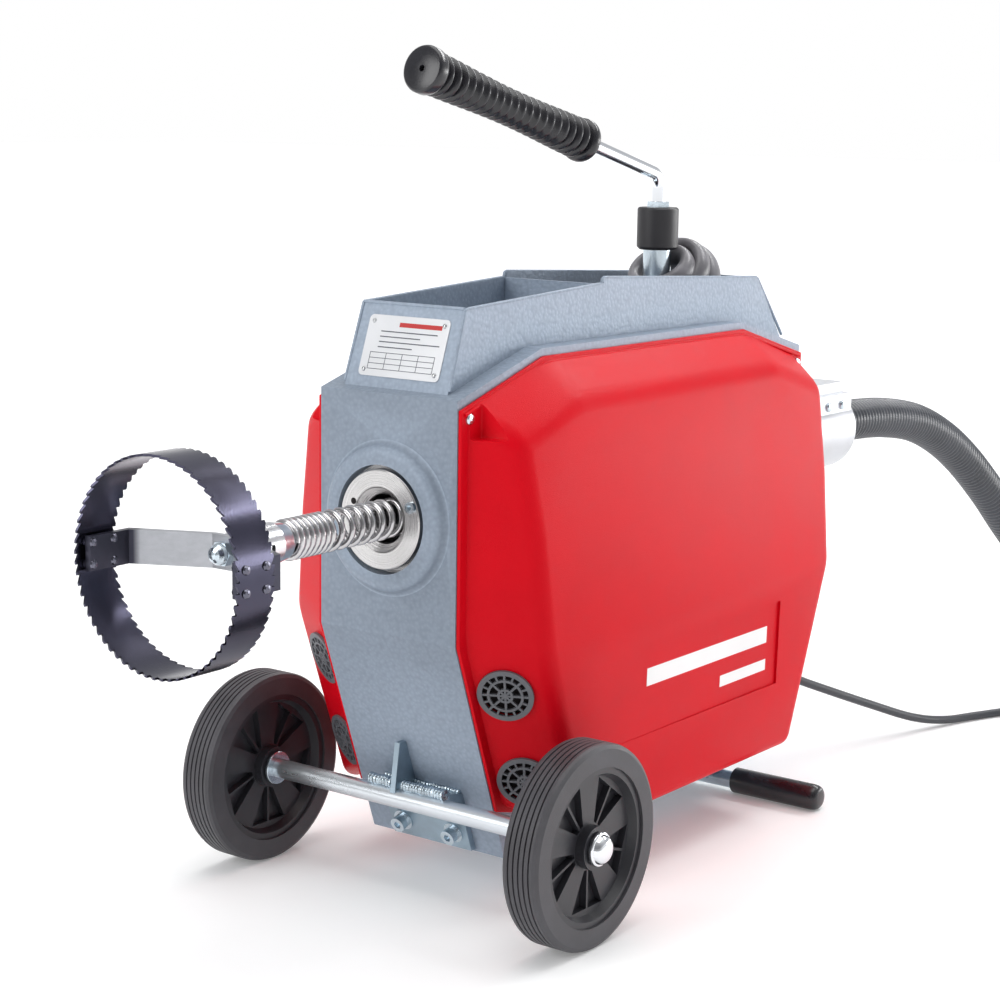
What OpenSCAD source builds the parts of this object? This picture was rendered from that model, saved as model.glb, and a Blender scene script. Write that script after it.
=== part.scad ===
// Sectional drain snake machine: wheeled housing, hollow spindle with a lever-operated
// clutch, 32 mm drain spiral, saw-toothed root cutter, rear guide hose and mains cable.
// Millimetres. +Z up, floor at z = 0, the spiral leaves the machine along -Y.
// Origin: on the floor, midway between the wheel caps and midway along the whole machine.

/* [Housing] */
// Width of the grey housing between the two covers
housing_w = 136; // [130:1:140]
// Depth of the housing from the front plate to the rear plate
housing_d = 520; // [510:1:530]
// Height of the bottom edge of the housing above the floor
base_z = 35; // [30:1:40]
// Height where the front and rear plates start to slope inwards
knee_z = 221; // [210:1:230]
// Height of the shoulder at the top of the front plate
front_shoulder_z = 411; // [405:1:415]
// Height of the shoulder at the top of the rear plate
rear_shoulder_z = 415; // [405:1:420]
// Height of the flat ledge along each side
ledge_z = 443; // [438:1:446]
// How far the front and rear plates slope inwards below the knee
slope_run = 67; // [55:1:75]
// Thickness of the housing sheet
sheet = 3; // [2:0.5:4]

/* [Tool tray] */
// Width of the open tray on top of the housing
tray_w = 103; // [96:1:108]
// Height of the tray rim at the front
tray_front_z = 477.5; // [470:0.5:482]
// Height of the rim just in front of the partition
tray_mid_z = 487.5; // [484:0.5:490]
// Height of the raised rim just behind the partition
tray_high_z = 492.5; // [491:0.5:496]
// Height of the rim at the rear
tray_rear_z = 480; // [475:1:484]
// Distance of the partition behind the front plate
partition_y = 216; // [200:1:230]

/* [Covers] */
// How far each cover bulges past the housing side
cover_bulge = 62; // [54:1:66]
// Angle by which the front panel of a cover leans outwards
panel_angle = 25; // [20:1:30]
// Width of the screw flange in front of a cover
flange_w = 9; // [7:1:11]
// Wall thickness of the covers
cover_wall = 3; // [2.5:0.5:4]
// Diameter of a vent grille
vent_d = 45; // [40:1:48]

/* [Spindle and spiral] */
// Height of the spindle axis above the floor
spindle_z = 314; // [310:1:318]
// Outer diameter of the drain spiral
spiral_d = 32; // [31:0.5:33]
// Wire diameter of the drain spiral
wire_d = 5.2; // [4.5:0.1:5.4]
// Bore of the front guide bushing
bushing_bore = 39.4; // [38:0.2:40]
// Outer diameter of the hollow spindle
spindle_d = 60; // [58:1:62]
// Bore of the hollow spindle
spindle_bore = 41; // [38:1:42]

/* [Cutter] */
// Diameter of the saw-toothed ring
cutter_d = 158; // [150:1:165]
// Width of the ring band without its teeth
band_w = 31; // [28:1:34]
// Number of teeth on each edge
tooth_count = 64; // [48:1:72]

/* [Wheels] */
// Diameter of each wheel
wheel_d = 160; // [156:1:164]
// Width of each tyre
tyre_w = 32; // [30:1:36]
// Distance from the middle to the inner face of the left tyre
left_wheel_x = 142; // [140:1:150]
// Distance from the middle to the inner face of the right tyre
right_wheel_x = 154; // [150:1:158]
// Distance of the axle behind the front plate
axle_y = 26; // [24:1:28]
// Diameter of the axle tube
axle_d = 16; // [14:1:18]

/* [Lever] */
// Angle of the lever grip above level
lever_angle = 14.2; // [12:0.1:16]
// Length of the lever rod between its bend and the grip
rod_reach = 122; // [110:1:130]
// Length of the ribbed grip
grip_len = 226; // [200:1:230]
// Number of ribs on the grip
grip_ribs = 19; // [12:1:22]

/* [Hose and cable] */
// Outer diameter of the guide hose
hose_d = 43; // [40:1:46]
// Outer diameter of the mains cable
cable_d = 8.4; // [7.5:0.1:9]
// Diameter of the cable coil, at the middle of its turns
coil_d = 92; // [84:1:100]

/* [Hidden] */
$fn = 64;
eps = 0.01;
running_gap = 0.05;

hammer_grey = "#8b96a1";
cover_red = "#d8141d";
zinc = "#b9c3c9";
steel = "#9a9da0";
rubber_black = "#2b2b2e";

// Reach of the cutter in front of the front plate, and of the hose socket behind it
cutter_front = 250;
socket_end = 694;
front_y = -(socket_end - cutter_front) / 2;

half_w = housing_w / 2;
shoulder_run = 107;
slope_rate = slope_run / (knee_z - base_z);
slope_angle = atan(slope_rate);
function front_slope_y(z) = z > knee_z ? 0 : (knee_z - z) * slope_rate;

// Everything below is drawn with y = 0 on the front plate and shifted as one
module from_front_plate() translate([0, front_y, 0]) children();
// A (y, z) outline extruded along X, centred on x = 0
module side_prism(width) rotate([90, 0, 90]) linear_extrude(width, center = true) children();
// A (y, z) outline extruded from x0 to x1
module side_slab(x0, x1) translate([(x0 + x1) / 2, 0, 0]) side_prism(x1 - x0) children();
// A cylinder along +Y between two y values, on the axis x, z
module y_cylinder(d, y0, y1, x = 0, z = spindle_z)
    translate([x, y0, z]) rotate([-90, 0, 0]) cylinder(d = d, h = y1 - y0);
module y_ring(d_out, d_in, y0, y1, x = 0, z = spindle_z)
    difference() {
        y_cylinder(d_out, y0, y1, x, z);
        y_cylinder(d_in, y0 - 1, y1 + 1, x, z);
    }
module x_cylinder(d, x0, x1, y, z)
    translate([x0, y, z]) rotate([0, 90, 0]) cylinder(d = d, h = x1 - x0);
// A profile of (radius, distance towards the rear), turned about the spindle axis
module turned_about_spindle() translate([0, 0, spindle_z]) rotate([-90, 0, 0]) rotate_extrude() children();
module mirrored_x() {
    children();
    mirror([1, 0, 0]) children();
}

// ---------------------------------------------------------------- housing and tray

module housing_outline() polygon([
    [0, knee_z], [slope_run, base_z], [housing_d - slope_run, base_z], [housing_d, knee_z],
    [housing_d, rear_shoulder_z], [housing_d - shoulder_run, ledge_z],
    [shoulder_run, ledge_z], [0, front_shoulder_z]
]);

mouth_boss_h = 9;
mouth_boss_d = 114;
mouth_opening_d = 86;
window_flange = 66;
gland_x = 45;
gland_z = 115;
gland_y = housing_d - front_slope_y(gland_z);

module housing() color(hammer_grey) from_front_plate() {
    difference() {
        side_prism(housing_w) housing_outline();
        side_prism(housing_w - 2 * sheet) offset(delta = -sheet) housing_outline();
        side_prism(housing_w + 2) offset(delta = -window_flange) housing_outline();
        y_cylinder(mouth_opening_d, -1, sheet + 1);
        y_cylinder(guide_tube_d + 0.2, housing_d - sheet - 1, housing_d + 1);
        translate([-tray_w / 2 + 6, partition_y + 8, ledge_z - 12])
            cube([tray_w - 12, housing_d - shoulder_run - partition_y - 16, 20]);
        translate([gland_x, gland_y, gland_z]) rotate([-90 - slope_angle, 0, 0])
            cylinder(d = 16, h = 20, center = true);
    }
    // Raised collar pressed into the front plate around the mouth
    translate([0, 0, spindle_z]) rotate([90, 0, 0]) rotate_extrude()
        polygon([[mouth_opening_d / 2, 0], [mouth_boss_d / 2, 0], [mouth_boss_d / 2 - 2, 3],
                 [mouth_opening_d / 2 + 4, mouth_boss_h], [mouth_opening_d / 2, mouth_boss_h]]);
}

tray_front_y = 9;
tray_lean = (31.4 - tray_front_y) / (tray_front_z - front_shoulder_z - 3);
tray_rear_y = 516;
tray_rear_lean = (tray_rear_y - 468) / (tray_rear_z - rear_shoulder_z - 1);
tray_sheet = 2.5;
function ledge_top(y) = y < shoulder_run
    ? front_shoulder_z + (ledge_z - front_shoulder_z) * y / shoulder_run
    : (y > housing_d - shoulder_run
        ? rear_shoulder_z + (ledge_z - rear_shoulder_z) * (housing_d - y) / shoulder_run
        : ledge_z);
function tray_front_at(z) = tray_front_y + (z - ledge_top(tray_front_y)) * tray_lean;
function tray_rear_at(z) = tray_rear_y - (z - ledge_top(tray_rear_y)) * tray_rear_lean;

module tool_tray() color(hammer_grey) from_front_plate() difference() {
    side_prism(tray_w) polygon([
        [tray_front_y, ledge_top(tray_front_y)], [shoulder_run, ledge_z],
        [housing_d - shoulder_run, ledge_z], [tray_rear_y, ledge_top(tray_rear_y)],
        [tray_rear_at(tray_rear_z), tray_rear_z], [partition_y, tray_high_z],
        [partition_y, tray_mid_z], [tray_front_at(tray_front_z), tray_front_z]
    ]);
    side_prism(tray_w - 2 * tray_sheet) polygon([
        [tray_front_at(400) + 3, 400], [tray_rear_at(400) - 4, 400],
        [tray_rear_at(520) - 4, 520], [tray_front_at(520) + 3, 520]
    ]);
    // Square seat for the switch in the rear wall
    translate([0, tray_rear_at(448), 448]) rotate([atan(tray_rear_lean) - 90, 0, 0])
        cylinder(d = 14, h = 20, center = true);
}

insert_w = tray_w - 2 * tray_sheet - 0.4;
module tray_insert() color(hammer_grey) from_front_plate() {
    translate([-insert_w / 2, 26, ledge_z + 0.3]) cube([insert_w, partition_y - 26, 2]);
    translate([-insert_w / 2, partition_y - 2, ledge_z + 0.3])
        cube([insert_w, 2.5, tray_mid_z - ledge_z - 1]);
}

// Places children on the sloped front of the tray: x across, y up the slope, z outwards
module on_tray_front(z) translate([0, tray_front_at(z), z]) rotate([90 - atan(tray_lean), 0, 0]) children();

label_w = 80;
label_h = 49;
label_z = 445;
module rating_plate() color("#d9dcdf") from_front_plate() on_tray_front(label_z)
    linear_extrude(0.8) offset(r = 4) square([label_w - 8, label_h - 8], center = true);

module plate_rivets() color(steel) from_front_plate() on_tray_front(label_z)
    for (sx = [-1, 1], sy = [-1, 1]) translate([sx * (label_w / 2 - 5), sy * (label_h / 2 - 5), 0.8])
        rotate_extrude() polygon([[0, 0], [2, 0], [1.6, 0.7], [0.8, 1.1], [0, 1.2]]);

// ---------------------------------------------------------------- covers

flange_t = 3;
cover_x = half_w + flange_t;
cover_out_x = half_w + cover_bulge;
cover_top_in = 20;
soft_r = 14;
cover_bottom_z = 60;
bulge_z = 245;
function panel_y(x, z) = front_slope_y(z) + flange_w + (x - cover_x) * tan(panel_angle);

// A pair of children, the second mirrored about the middle of the housing depth
module front_and_rear() {
    children();
    translate([0, housing_d, 0]) mirror([0, 1, 0]) children();
}
// One soft corner of a cover, at its outer x and its height
module cover_corner(x, z, t) {
    cx = x - soft_r;
    translate([cx, panel_y(cx, z) + soft_r / cos(panel_angle) / cos(z > knee_z ? 0 : slope_angle), z])
        sphere(r = soft_r - t, $fn = 20);
}
// Solid form of the bulging part of a cover; t shrinks it by the wall thickness
module cover_form(t) {
    inner_x = t > 0 ? half_w - 1 : cover_x - 1;
    hull() front_and_rear() {
        cover_corner(cover_out_x, cover_bottom_z + soft_r, t);
        cover_corner(cover_out_x, bulge_z, t);
        cover_corner(cover_out_x - cover_top_in + 2, 378, t);
        translate([cover_out_x - cover_top_in - soft_r, shoulder_run + 20, 407 - soft_r])
            sphere(r = soft_r - t, $fn = 20);
        for (p = [[panel_y(cover_x, cover_bottom_z + 10) + t, cover_bottom_z + 10 + t],
                  [flange_w + t, knee_z], [flange_w + t, 398 - t],
                  [shoulder_run, ledge_z - 10 - t]])
            translate([inner_x, p[0], p[1]]) cube([1, eps, eps]);
    }
}
module flange_outline() polygon([
    [1, knee_z], [1 + front_slope_y(78), 78], [housing_d / 2 - 140, cover_bottom_z],
    [housing_d / 2 + 140, cover_bottom_z], [housing_d - 1 - front_slope_y(78), 78],
    [housing_d - 1, knee_z], [housing_d - 1, rear_shoulder_z - 7],
    [housing_d - shoulder_run, ledge_z - 6], [shoulder_run, ledge_z - 6],
    [1, front_shoulder_z - 7]
]);
notch_z = 381;
notch_depth = 25;
screw_spots = [[10.5, 397], [housing_d - 10.5, 399]];
module cover_notches(t) front_and_rear()
    translate([cover_x - (t > 0 ? 10 : 0), -20, notch_z - t]) cube([100, 20 + notch_depth + t, 60]);
module cover_shell() difference() {
    union() {
        side_slab(half_w, cover_x) flange_outline();
        difference() {
            cover_form(0);
            cover_notches(0);
        }
    }
    difference() {
        cover_form(cover_wall);
        cover_notches(cover_wall);
    }
    for (p = screw_spots) x_cylinder(5.4, half_w - 1, cover_x + 1, p[0], p[1]);
    for (z = vent_heights) at_vent(z) translate([0, 0, -12]) cylinder(d = vent_d - 6, h = 24);
}
module right_cover() color(cover_red) from_front_plate() cover_shell();
module left_cover() color(cover_red) from_front_plate() mirror([1, 0, 0]) cover_shell();

screw_len = 14;
module pan_head_screw() {
    rotate_extrude() polygon([[0, 0], [4.6, 0], [4.4, 1.6], [3.2, 2.8], [0, 3.2]]);
    translate([0, 0, -screw_len]) cylinder(d = 4.8, h = screw_len);
}
module pan_head_screws() color(steel) from_front_plate() {
    mirrored_x() for (p = screw_spots) translate([cover_x, p[0], p[1]]) rotate([0, 90, 0]) pan_head_screw();
    for (y = socket_screw_y) translate([socket_pad_x, y, socket_screw_z])
        rotate([0, 90, 0]) pan_head_screw();
}

vent_heights = [182, 106];
vent_x = 92.5;
// Places children on the lower front panel of a cover, z pointing outwards
module at_vent(z) translate([vent_x, panel_y(vent_x, z), z])
    rotate([0, 90 + slope_angle * cos(panel_angle), panel_angle - 90]) children();
module vent_grille() {
    for (r = [vent_d / 2, vent_d / 3.1, vent_d / 7]) difference() {
        cylinder(r = r, h = 2.2);
        translate([0, 0, -1]) cylinder(r = r - (r > 20 ? 4 : 2), h = 5);
    }
    cylinder(r = 2.2, h = 2.2);
    for (a = [0:45:315]) rotate(a) translate([1.5, -0.9, 0]) cube([vent_d / 2 - 3.5, 1.8, 2]);
    for (a = [22.5:45:337.5]) rotate(a) translate([vent_d / 3.1 - 1, -0.8, 0]) cube([vent_d / 6.4, 1.6, 2]);
}
module right_vent_grilles() color("#3a3c3f") from_front_plate()
    for (z = vent_heights) at_vent(z) translate([0, 0, 0.4]) vent_grille();
module left_vent_grilles() color("#3a3c3f") from_front_plate() mirror([1, 0, 0])
    for (z = vent_heights) at_vent(z) translate([0, 0, 0.4]) vent_grille();

// ---------------------------------------------------------------- mouth and spindle

bushing_d = 79;
bushing_front = -9.5;
module guide_bushing() color("#c9cbcc") from_front_plate() turned_about_spindle() polygon([
    [bushing_bore / 2, bushing_front + 6], [25, bushing_front + 1.5], [26, bushing_front],
    [bushing_d / 2 - 1, bushing_front], [bushing_d / 2, bushing_front + 1],
    [bushing_d / 2, sheet], [50, sheet], [50, sheet + 5], [27, sheet + 5],
    [27, spindle_front - 2], [bushing_bore / 2, spindle_front - 2]
]);
// Socket screw in the rim of the bushing
module bushing_screw() color(steel) from_front_plate()
    translate([32, bushing_front, spindle_z + 13.5]) rotate([90, 0, 0]) difference() {
        cylinder(d = 9, h = 3);
        translate([0, 0, 1]) cylinder(d = 4.6, h = 3, $fn = 6);
    }

bearing_d = 90;
bearing_w = 16;
bearing_front_y = 40;
bearing_rear_y = 446;
spindle_front = 32;
spindle_rear = 474;
jaw_front = 330;
jaw_len = 26;
jaw_w = 14;
jaw_stroke = 1.25;
jaw_angles = [90, 210, 330];
module spindle() color(steel) from_front_plate() difference() {
    union() {
        y_ring(spindle_d, spindle_bore, spindle_front, spindle_rear);
        // Shoulder in front of the jaws
        y_ring(spindle_d + 12, spindle_d - 1, jaw_front - 8, jaw_front - 0.4);
    }
    for (a = jaw_angles) translate([0, 0, spindle_z]) rotate([0, -a, 0])
        translate([0, jaw_front - 0.3, -jaw_w / 2 - 0.3]) cube([spindle_d, jaw_len + 0.6, jaw_w + 0.6]);
}
module spindle_bearings() color("#b4b7ba") from_front_plate()
    for (y = [bearing_front_y, bearing_rear_y])
        y_ring(bearing_d, spindle_d + 2 * running_gap, y, y + bearing_w);
plate_t = 12;
module bearing_plates() color("#70767c") from_front_plate()
    for (y = [bearing_front_y + 2, bearing_rear_y + 2]) difference() {
        translate([-half_w + sheet, y, spindle_z - 68]) cube([housing_w - 2 * sheet, plate_t, 150]);
        y_cylinder(bearing_d, y - 1, y + plate_t + 1);
    }

// ---------------------------------------------------------------- drive

pulley_y = 400;
pulley_w = 22;
spindle_pulley_d = 120;
motor_pulley_d = 40;
motor_z = 148;
belt_t = 4;
belt_gap = 0.3;
drive_ratio = spindle_pulley_d / motor_pulley_d;
module spindle_pulley() color("#5d6267") from_front_plate() difference() {
    union() {
        y_ring(spindle_pulley_d, spindle_d, pulley_y, pulley_y + pulley_w);
        y_ring(spindle_pulley_d + 8, spindle_d, pulley_y - 3, pulley_y);
    }
    for (a = [0:60:300]) translate([0, 0, spindle_z]) rotate([0, a, 0])
        y_cylinder(18, pulley_y - 5, pulley_y + pulley_w + 5, 45, 0);
}
// Outline of the belt run in (x, z), grown by t past the pulleys
module belt_run(t) hull() {
    translate([0, spindle_z]) circle(r = spindle_pulley_d / 2 + t);
    translate([0, motor_z]) circle(r = motor_pulley_d / 2 + t);
}
module drive_belt() color("#1f1f21") from_front_plate() translate([0, pulley_y + pulley_w - 1, 0])
    rotate([90, 0, 0]) linear_extrude(pulley_w - 2) difference() {
        belt_run(belt_gap + belt_t);
        belt_run(belt_gap);
    }
shaft_d = 16;
module motor_pulley() color("#5d6267") from_front_plate()
    y_ring(motor_pulley_d, shaft_d, pulley_y, pulley_y + pulley_w, 0, motor_z);

motor_front = 168;
motor_rear = 372;
motor_d = 104;
module motor_casing() color("#7d8388") from_front_plate() {
    difference() {
        union() {
            y_cylinder(motor_d, motor_front, motor_rear, 0, motor_z);
            for (a = [0:20:340]) translate([0, 0, motor_z]) rotate([0, a, 0])
                translate([motor_d / 2 - 1, motor_front + 24, -1.2]) cube([5, 140, 2.4]);
            translate([-48, motor_front + 40, base_z + sheet]) cube([96, 120, motor_z - base_z - 48]);
        }
        y_cylinder(motor_d - 12, motor_front + 6, motor_rear - 6, 0, motor_z);
        y_cylinder(shaft_d + 2 * running_gap, motor_front - 1, motor_rear + 1, 0, motor_z);
    }
}
module motor_rotor() color(steel) from_front_plate() {
    y_cylinder(shaft_d, motor_front - 20, pulley_y + pulley_w + 6, 0, motor_z);
    y_ring(62, shaft_d - 1, motor_front + 50, motor_rear - 50, 0, motor_z);
    y_ring(36, shaft_d - 1, motor_front + 20, motor_front + 44, 0, motor_z);
}
module motor_fan() color("#2f3134") from_front_plate() {
    y_ring(28, shaft_d, motor_front - 18, motor_front - 4, 0, motor_z);
    for (a = [0:40:320]) translate([0, 0, motor_z]) rotate([0, a, 0])
        translate([13, motor_front - 17, -1]) cube([30, 12, 2]);
}

// ---------------------------------------------------------------- clutch

cone_front = jaw_front;
cone_len = 32;
cone_d = 92;
jaw_top_r = 39;
cone_slope = 0.25;
cone_stroke = 5;
cone_step_y = jaw_front + jaw_len + cone_stroke + 2;
// Sloping face shared by the jaws and the cone, as radius at a given y
function cone_r(y) = jaw_top_r - (y - jaw_front) * cone_slope;
// The cone slides forwards on the spindle and squeezes the jaws
module clutch_cone() color("#a7a9ab") from_front_plate() turned_about_spindle() polygon([
    [cone_r(jaw_front + 6) + 0.3, cone_front + 6], [cone_d / 2, cone_front + 6],
    [cone_d / 2, cone_front + cone_len + 12], [spindle_d / 2 + running_gap, cone_front + cone_len + 12],
    [spindle_d / 2 + running_gap, cone_step_y], [cone_r(cone_step_y) + 0.3, cone_step_y]
]);
module clutch_jaw(a) color("#8f8468") from_front_plate() intersection() {
    turned_about_spindle() polygon([
        [spiral_d / 2 + jaw_stroke + 0.3, jaw_front], [cone_r(jaw_front), jaw_front],
        [cone_r(jaw_front + jaw_len), jaw_front + jaw_len],
        [spiral_d / 2 + jaw_stroke + 0.3, jaw_front + jaw_len]
    ]);
    translate([0, 0, spindle_z]) rotate([0, -a, 0])
        translate([8, jaw_front - 1, -jaw_w / 2]) cube([60, jaw_len + 2, jaw_w]);
}
module clutch_jaw_1() clutch_jaw(jaw_angles[0]);
module clutch_jaw_2() clutch_jaw(jaw_angles[1]);
module clutch_jaw_3() clutch_jaw(jaw_angles[2]);

ring_y = cone_front + cone_len + 12.4;
ring_t = 10;
wedge_top = 372;
wedge_gap = 0.45;
slide_w = 20;
pivot_y = 376;
pivot_z = 466;
crank = 14;
cam_d = 10;
cam_drop = 6.6;
slide_top = pivot_z - cam_drop - cam_d / 2 - 0.3;
slide_low = pivot_z - 15;
module pressure_ring() color("#6f757b") from_front_plate() {
    y_ring(cone_d, spindle_d + 1, ring_y, ring_y + ring_t);
    // Nose with a 45 degree face for the wedge slide
    difference() {
        side_prism(24) polygon([[ring_y, spindle_z + 42], [ring_y + ring_t, spindle_z + 42],
                                [ring_y + ring_t, wedge_top - 10], [ring_y, wedge_top]]);
        y_cylinder(cone_d - 4, ring_y - 1, ring_y + ring_t + 1);
    }
}
// Slide between the lever cam and the pressure ring: pressed down, its 45 degree face
// drives the ring and the cone forwards by the same distance
module wedge_slide() color("#8d9296") from_front_plate() side_prism(slide_w) polygon([
    [ring_y + 1, wedge_top - 1 + wedge_gap], [ring_y + 14, wedge_top - 14 + wedge_gap],
    [ring_y + 20, wedge_top - 14 + wedge_gap], [ring_y + 20, slide_low],
    [pivot_y - crank + 4, slide_low], [pivot_y - crank + 4, slide_top],
    [pivot_y - crank - 10, slide_top], [pivot_y - crank - 10, wedge_top + 24],
    [ring_y + 1, wedge_top + 16]
]);

// ---------------------------------------------------------------- lever

pin_d = 12;
lever_arm_w = 20;
sleeve_d = 37;
module lever_bracket() color("#70767c") from_front_plate() {
    // Two cheeks that carry the pivot pin, joined below and hung from the top sheet
    difference() {
        union() for (s = [-1, 1]) {
            translate([s * 22 - 3, pivot_y - 26, ledge_z - 60]) cube([6, 52, 88]);
            translate([s * 44 - 20, pivot_y - 26, ledge_z - sheet - 5]) cube([40, 52, 5]);
            // Guide block for the wedge slide
            translate([s * 15.2 - 4.9, pivot_y - 20, ledge_z - 46]) cube([9.8, 34, 26]);
        }
        x_cylinder(pin_d, -40, 40, pivot_y, pivot_z);
    }
    translate([-20, pivot_y - 26, ledge_z - 60]) cube([40, 2, 30]);
}
module lever_pivot_pin() color(zinc) from_front_plate()
    difference() {
        x_cylinder(pin_d, -26, 26, pivot_y, pivot_z);
        for (s = [-1, 1]) x_cylinder(3, s * 24 - 4, s * 24 + 4, pivot_y, pivot_z);
    }
module lever_base() color(zinc) from_front_plate() difference() {
    union() {
        x_cylinder(26, -lever_arm_w / 2, lever_arm_w / 2, pivot_y, pivot_z);
        translate([0, pivot_y, pivot_z]) cylinder(d = 25, h = 40.5);
        // Cam that pushes the wedge slide down
        translate([-lever_arm_w / 2, pivot_y - crank, pivot_z - cam_drop - 3])
            cube([lever_arm_w, crank, 10]);
        x_cylinder(cam_d, -lever_arm_w / 2, lever_arm_w / 2, pivot_y - crank, pivot_z - cam_drop);
    }
    x_cylinder(pin_d + 2 * running_gap, -20, 20, pivot_y, pivot_z);
}
sleeve_z0 = 506.5;
sleeve_z1 = 544;
module lever_sleeve() color(rubber_black) from_front_plate() translate([0, pivot_y, sleeve_z0])
    rotate_extrude() polygon([
        [0, 0], [sleeve_d / 2 - 2.5, 0], [sleeve_d / 2, 2.5], [sleeve_d / 2, sleeve_z1 - sleeve_z0 - 1.5],
        [sleeve_d / 2 - 1.5, sleeve_z1 - sleeve_z0], [0, sleeve_z1 - sleeve_z0]
    ]);
nut_h = 5;
module lever_nut() color(zinc) from_front_plate() translate([0, pivot_y, sleeve_z1]) difference() {
    cylinder(d = 22, h = nut_h, $fn = 6);
    translate([0, 0, -1]) cylinder(d = rod_d, h = nut_h + 2);
}
rod_d = 12;
bend_r = 14;
bend_z = 572;
// The rod rises from the sleeve, bends forwards and runs up into the grip
module lever_rod() color(zinc) from_front_plate() {
    bend_turn = 90 - lever_angle;
    reach = bend_r * tan(bend_turn / 2);
    translate([0, pivot_y, sleeve_z1]) cylinder(d = rod_d, h = bend_z - reach - sleeve_z1 + 0.2);
    translate([0, pivot_y - bend_r, bend_z - reach]) rotate([90, 0, 90])
        rotate_extrude(angle = bend_turn) translate([bend_r, 0]) circle(d = rod_d);
    translate([0, pivot_y, bend_z]) rotate([90 - lever_angle, 0, 0]) translate([0, 0, reach - 0.2])
        cylinder(d = rod_d, h = rod_reach + 60.2 - reach);
}
grip_d = 36;
grip_neck_d = 27;
// Ribbed grip with round end flanges and a slight waist in the middle
module lever_grip() color(rubber_black) from_front_plate() translate([0, pivot_y, bend_z])
    rotate([90 - lever_angle, 0, 0]) translate([0, 0, rod_reach]) rotate_extrude() polygon(concat(
        [[rod_d / 2, 60], [rod_d / 2, 0], [grip_d / 2 - 3, 0], [grip_d / 2, 3], [grip_d / 2, 9],
         [grip_neck_d / 2, 12]],
        [for (i = [0:grip_ribs - 1], k = [0:3]) let (
            pitch = (grip_len - 24) / grip_ribs,
            waist = 2 * sin(180 * (i + 0.5) / grip_ribs),
            top = grip_d / 2 - 1 - waist)
            [k == 1 || k == 2 ? top : grip_neck_d / 2 - waist / 2,
             12 + pitch * (i + [0.35, 0.5, 0.8, 1][k])]],
        [[grip_neck_d / 2, grip_len - 12], [grip_d / 2, grip_len - 7], [grip_d / 2, grip_len - 1],
         [grip_d / 2 - 1, grip_len], [2.5, grip_len], [2.5, grip_len - 5], [0, grip_len - 5], [0, 60]]
    ));

// Rubber bellows around the foot of the lever: folds that fan out towards the rear,
// each given as y, z, tilt and outer radius
gaiter_folds = [[378, 494, 27, 31], [392, 487, 35, 35], [408, 478, 50, 36], [418, 466, 62, 36]];
module lever_gaiter() color("#3c3f42") from_front_plate() difference() {
    union() for (g = gaiter_folds) translate([0, g[0], g[1]]) rotate([g[2], 0, 0])
        rotate_extrude() polygon([[g[3] - 5, -9], [g[3] - 3, -9], [g[3], -3], [g[3], 3],
                                  [g[3] - 3, 9], [g[3] - 5, 9]]);
    translate([-60, 300, 380]) cube([120, 200, ledge_z - 380]);
    // Room for the bracket and for the swing of the lever
    translate([-26.5, 330, 400]) cube([53, 75, 76]);
    translate([-17, 330, 400]) cube([34, 66, 79]);
}

// ---------------------------------------------------------------- wheels and feet

axle_z = wheel_d / 2;
cap_x = 196;
rim_d = 124;
hub_d = 34;
hub_bore = 16 + 2 * running_gap;
module axle_tube() color(zinc) from_front_plate() difference() {
    x_cylinder(axle_d, -cap_x + 6, cap_x - 6, axle_y, axle_z);
    x_cylinder(axle_d - 5, -cap_x + 4, cap_x - 4, axle_y, axle_z);
}
bracket_w = 80;
bracket_t = 6;
bolt_x = 26;
bolt_z = 51.5;
// Bent plate bolted to the sloping front, with a web that carries the axle, and a gusset
module axle_bracket() color(zinc) from_front_plate() difference() {
    union() {
        side_prism(bracket_w) polygon([
            [front_slope_y(37), 37], [front_slope_y(88), 88],
            [axle_y + 1, 93], [axle_y, axle_z + axle_d / 2 - 2], [axle_y + 6, axle_z + 2],
            [front_slope_y(axle_z) - bracket_t, axle_z], [front_slope_y(37) - bracket_t, 37]
        ]);
        side_slab(-12.5, -7.5) polygon([
            [axle_y - 6, axle_z + 5], [axle_y, 126], [front_slope_y(126), 126],
            [front_slope_y(84), 84], [axle_y + 4, axle_z + 5]
        ]);
    }
    x_cylinder(axle_d, -60, 60, axle_y, axle_z);
    for (s = [-1, 1]) at_bracket_bolt(s) translate([0, 0, -20]) cylinder(d = 8.4, h = 30);
}
module at_bracket_bolt(s) translate([s * bolt_x, front_slope_y(bolt_z) - bracket_t, bolt_z])
    rotate([90 + slope_angle, 0, 0]) children();
module bracket_bolts() color(zinc) from_front_plate() for (s = [-1, 1]) at_bracket_bolt(s) {
    difference() {
        union() {
            cylinder(d = 18, h = 1.6);
            translate([0, 0, 1.6]) cylinder(d = 13, h = 8);
        }
        translate([0, 0, 5]) cylinder(d = 6.9, h = 6, $fn = 6);
    }
    translate([0, 0, -bracket_t - 8]) cylinder(d = 8, h = bracket_t + 9);
}

// Solid rubber tyre with five grooves in the tread
module tyre() rotate([0, 90, 0]) rotate_extrude($fn = 128) polygon(concat(
    [[rim_d / 2, 0], [wheel_d / 2 - 4, 0], [wheel_d / 2 - 1, 1.5], [wheel_d / 2, 4]],
    [for (i = [0:4], k = [0:3]) [k == 1 || k == 2 ? wheel_d / 2 - 1.8 : wheel_d / 2,
                                6 + i * 4.6 + [0, 0.3, 1.1, 1.4][k]]],
    [[wheel_d / 2, tyre_w - 4], [wheel_d / 2 - 1, tyre_w - 1.5], [wheel_d / 2 - 4, tyre_w],
     [rim_d / 2, tyre_w]]
));
module left_tyre() color(rubber_black) from_front_plate()
    translate([-left_wheel_x - tyre_w, axle_y, axle_z]) tyre();
module right_tyre() color(rubber_black) from_front_plate()
    translate([right_wheel_x, axle_y, axle_z]) tyre();

spoke_windows = 5;
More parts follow.
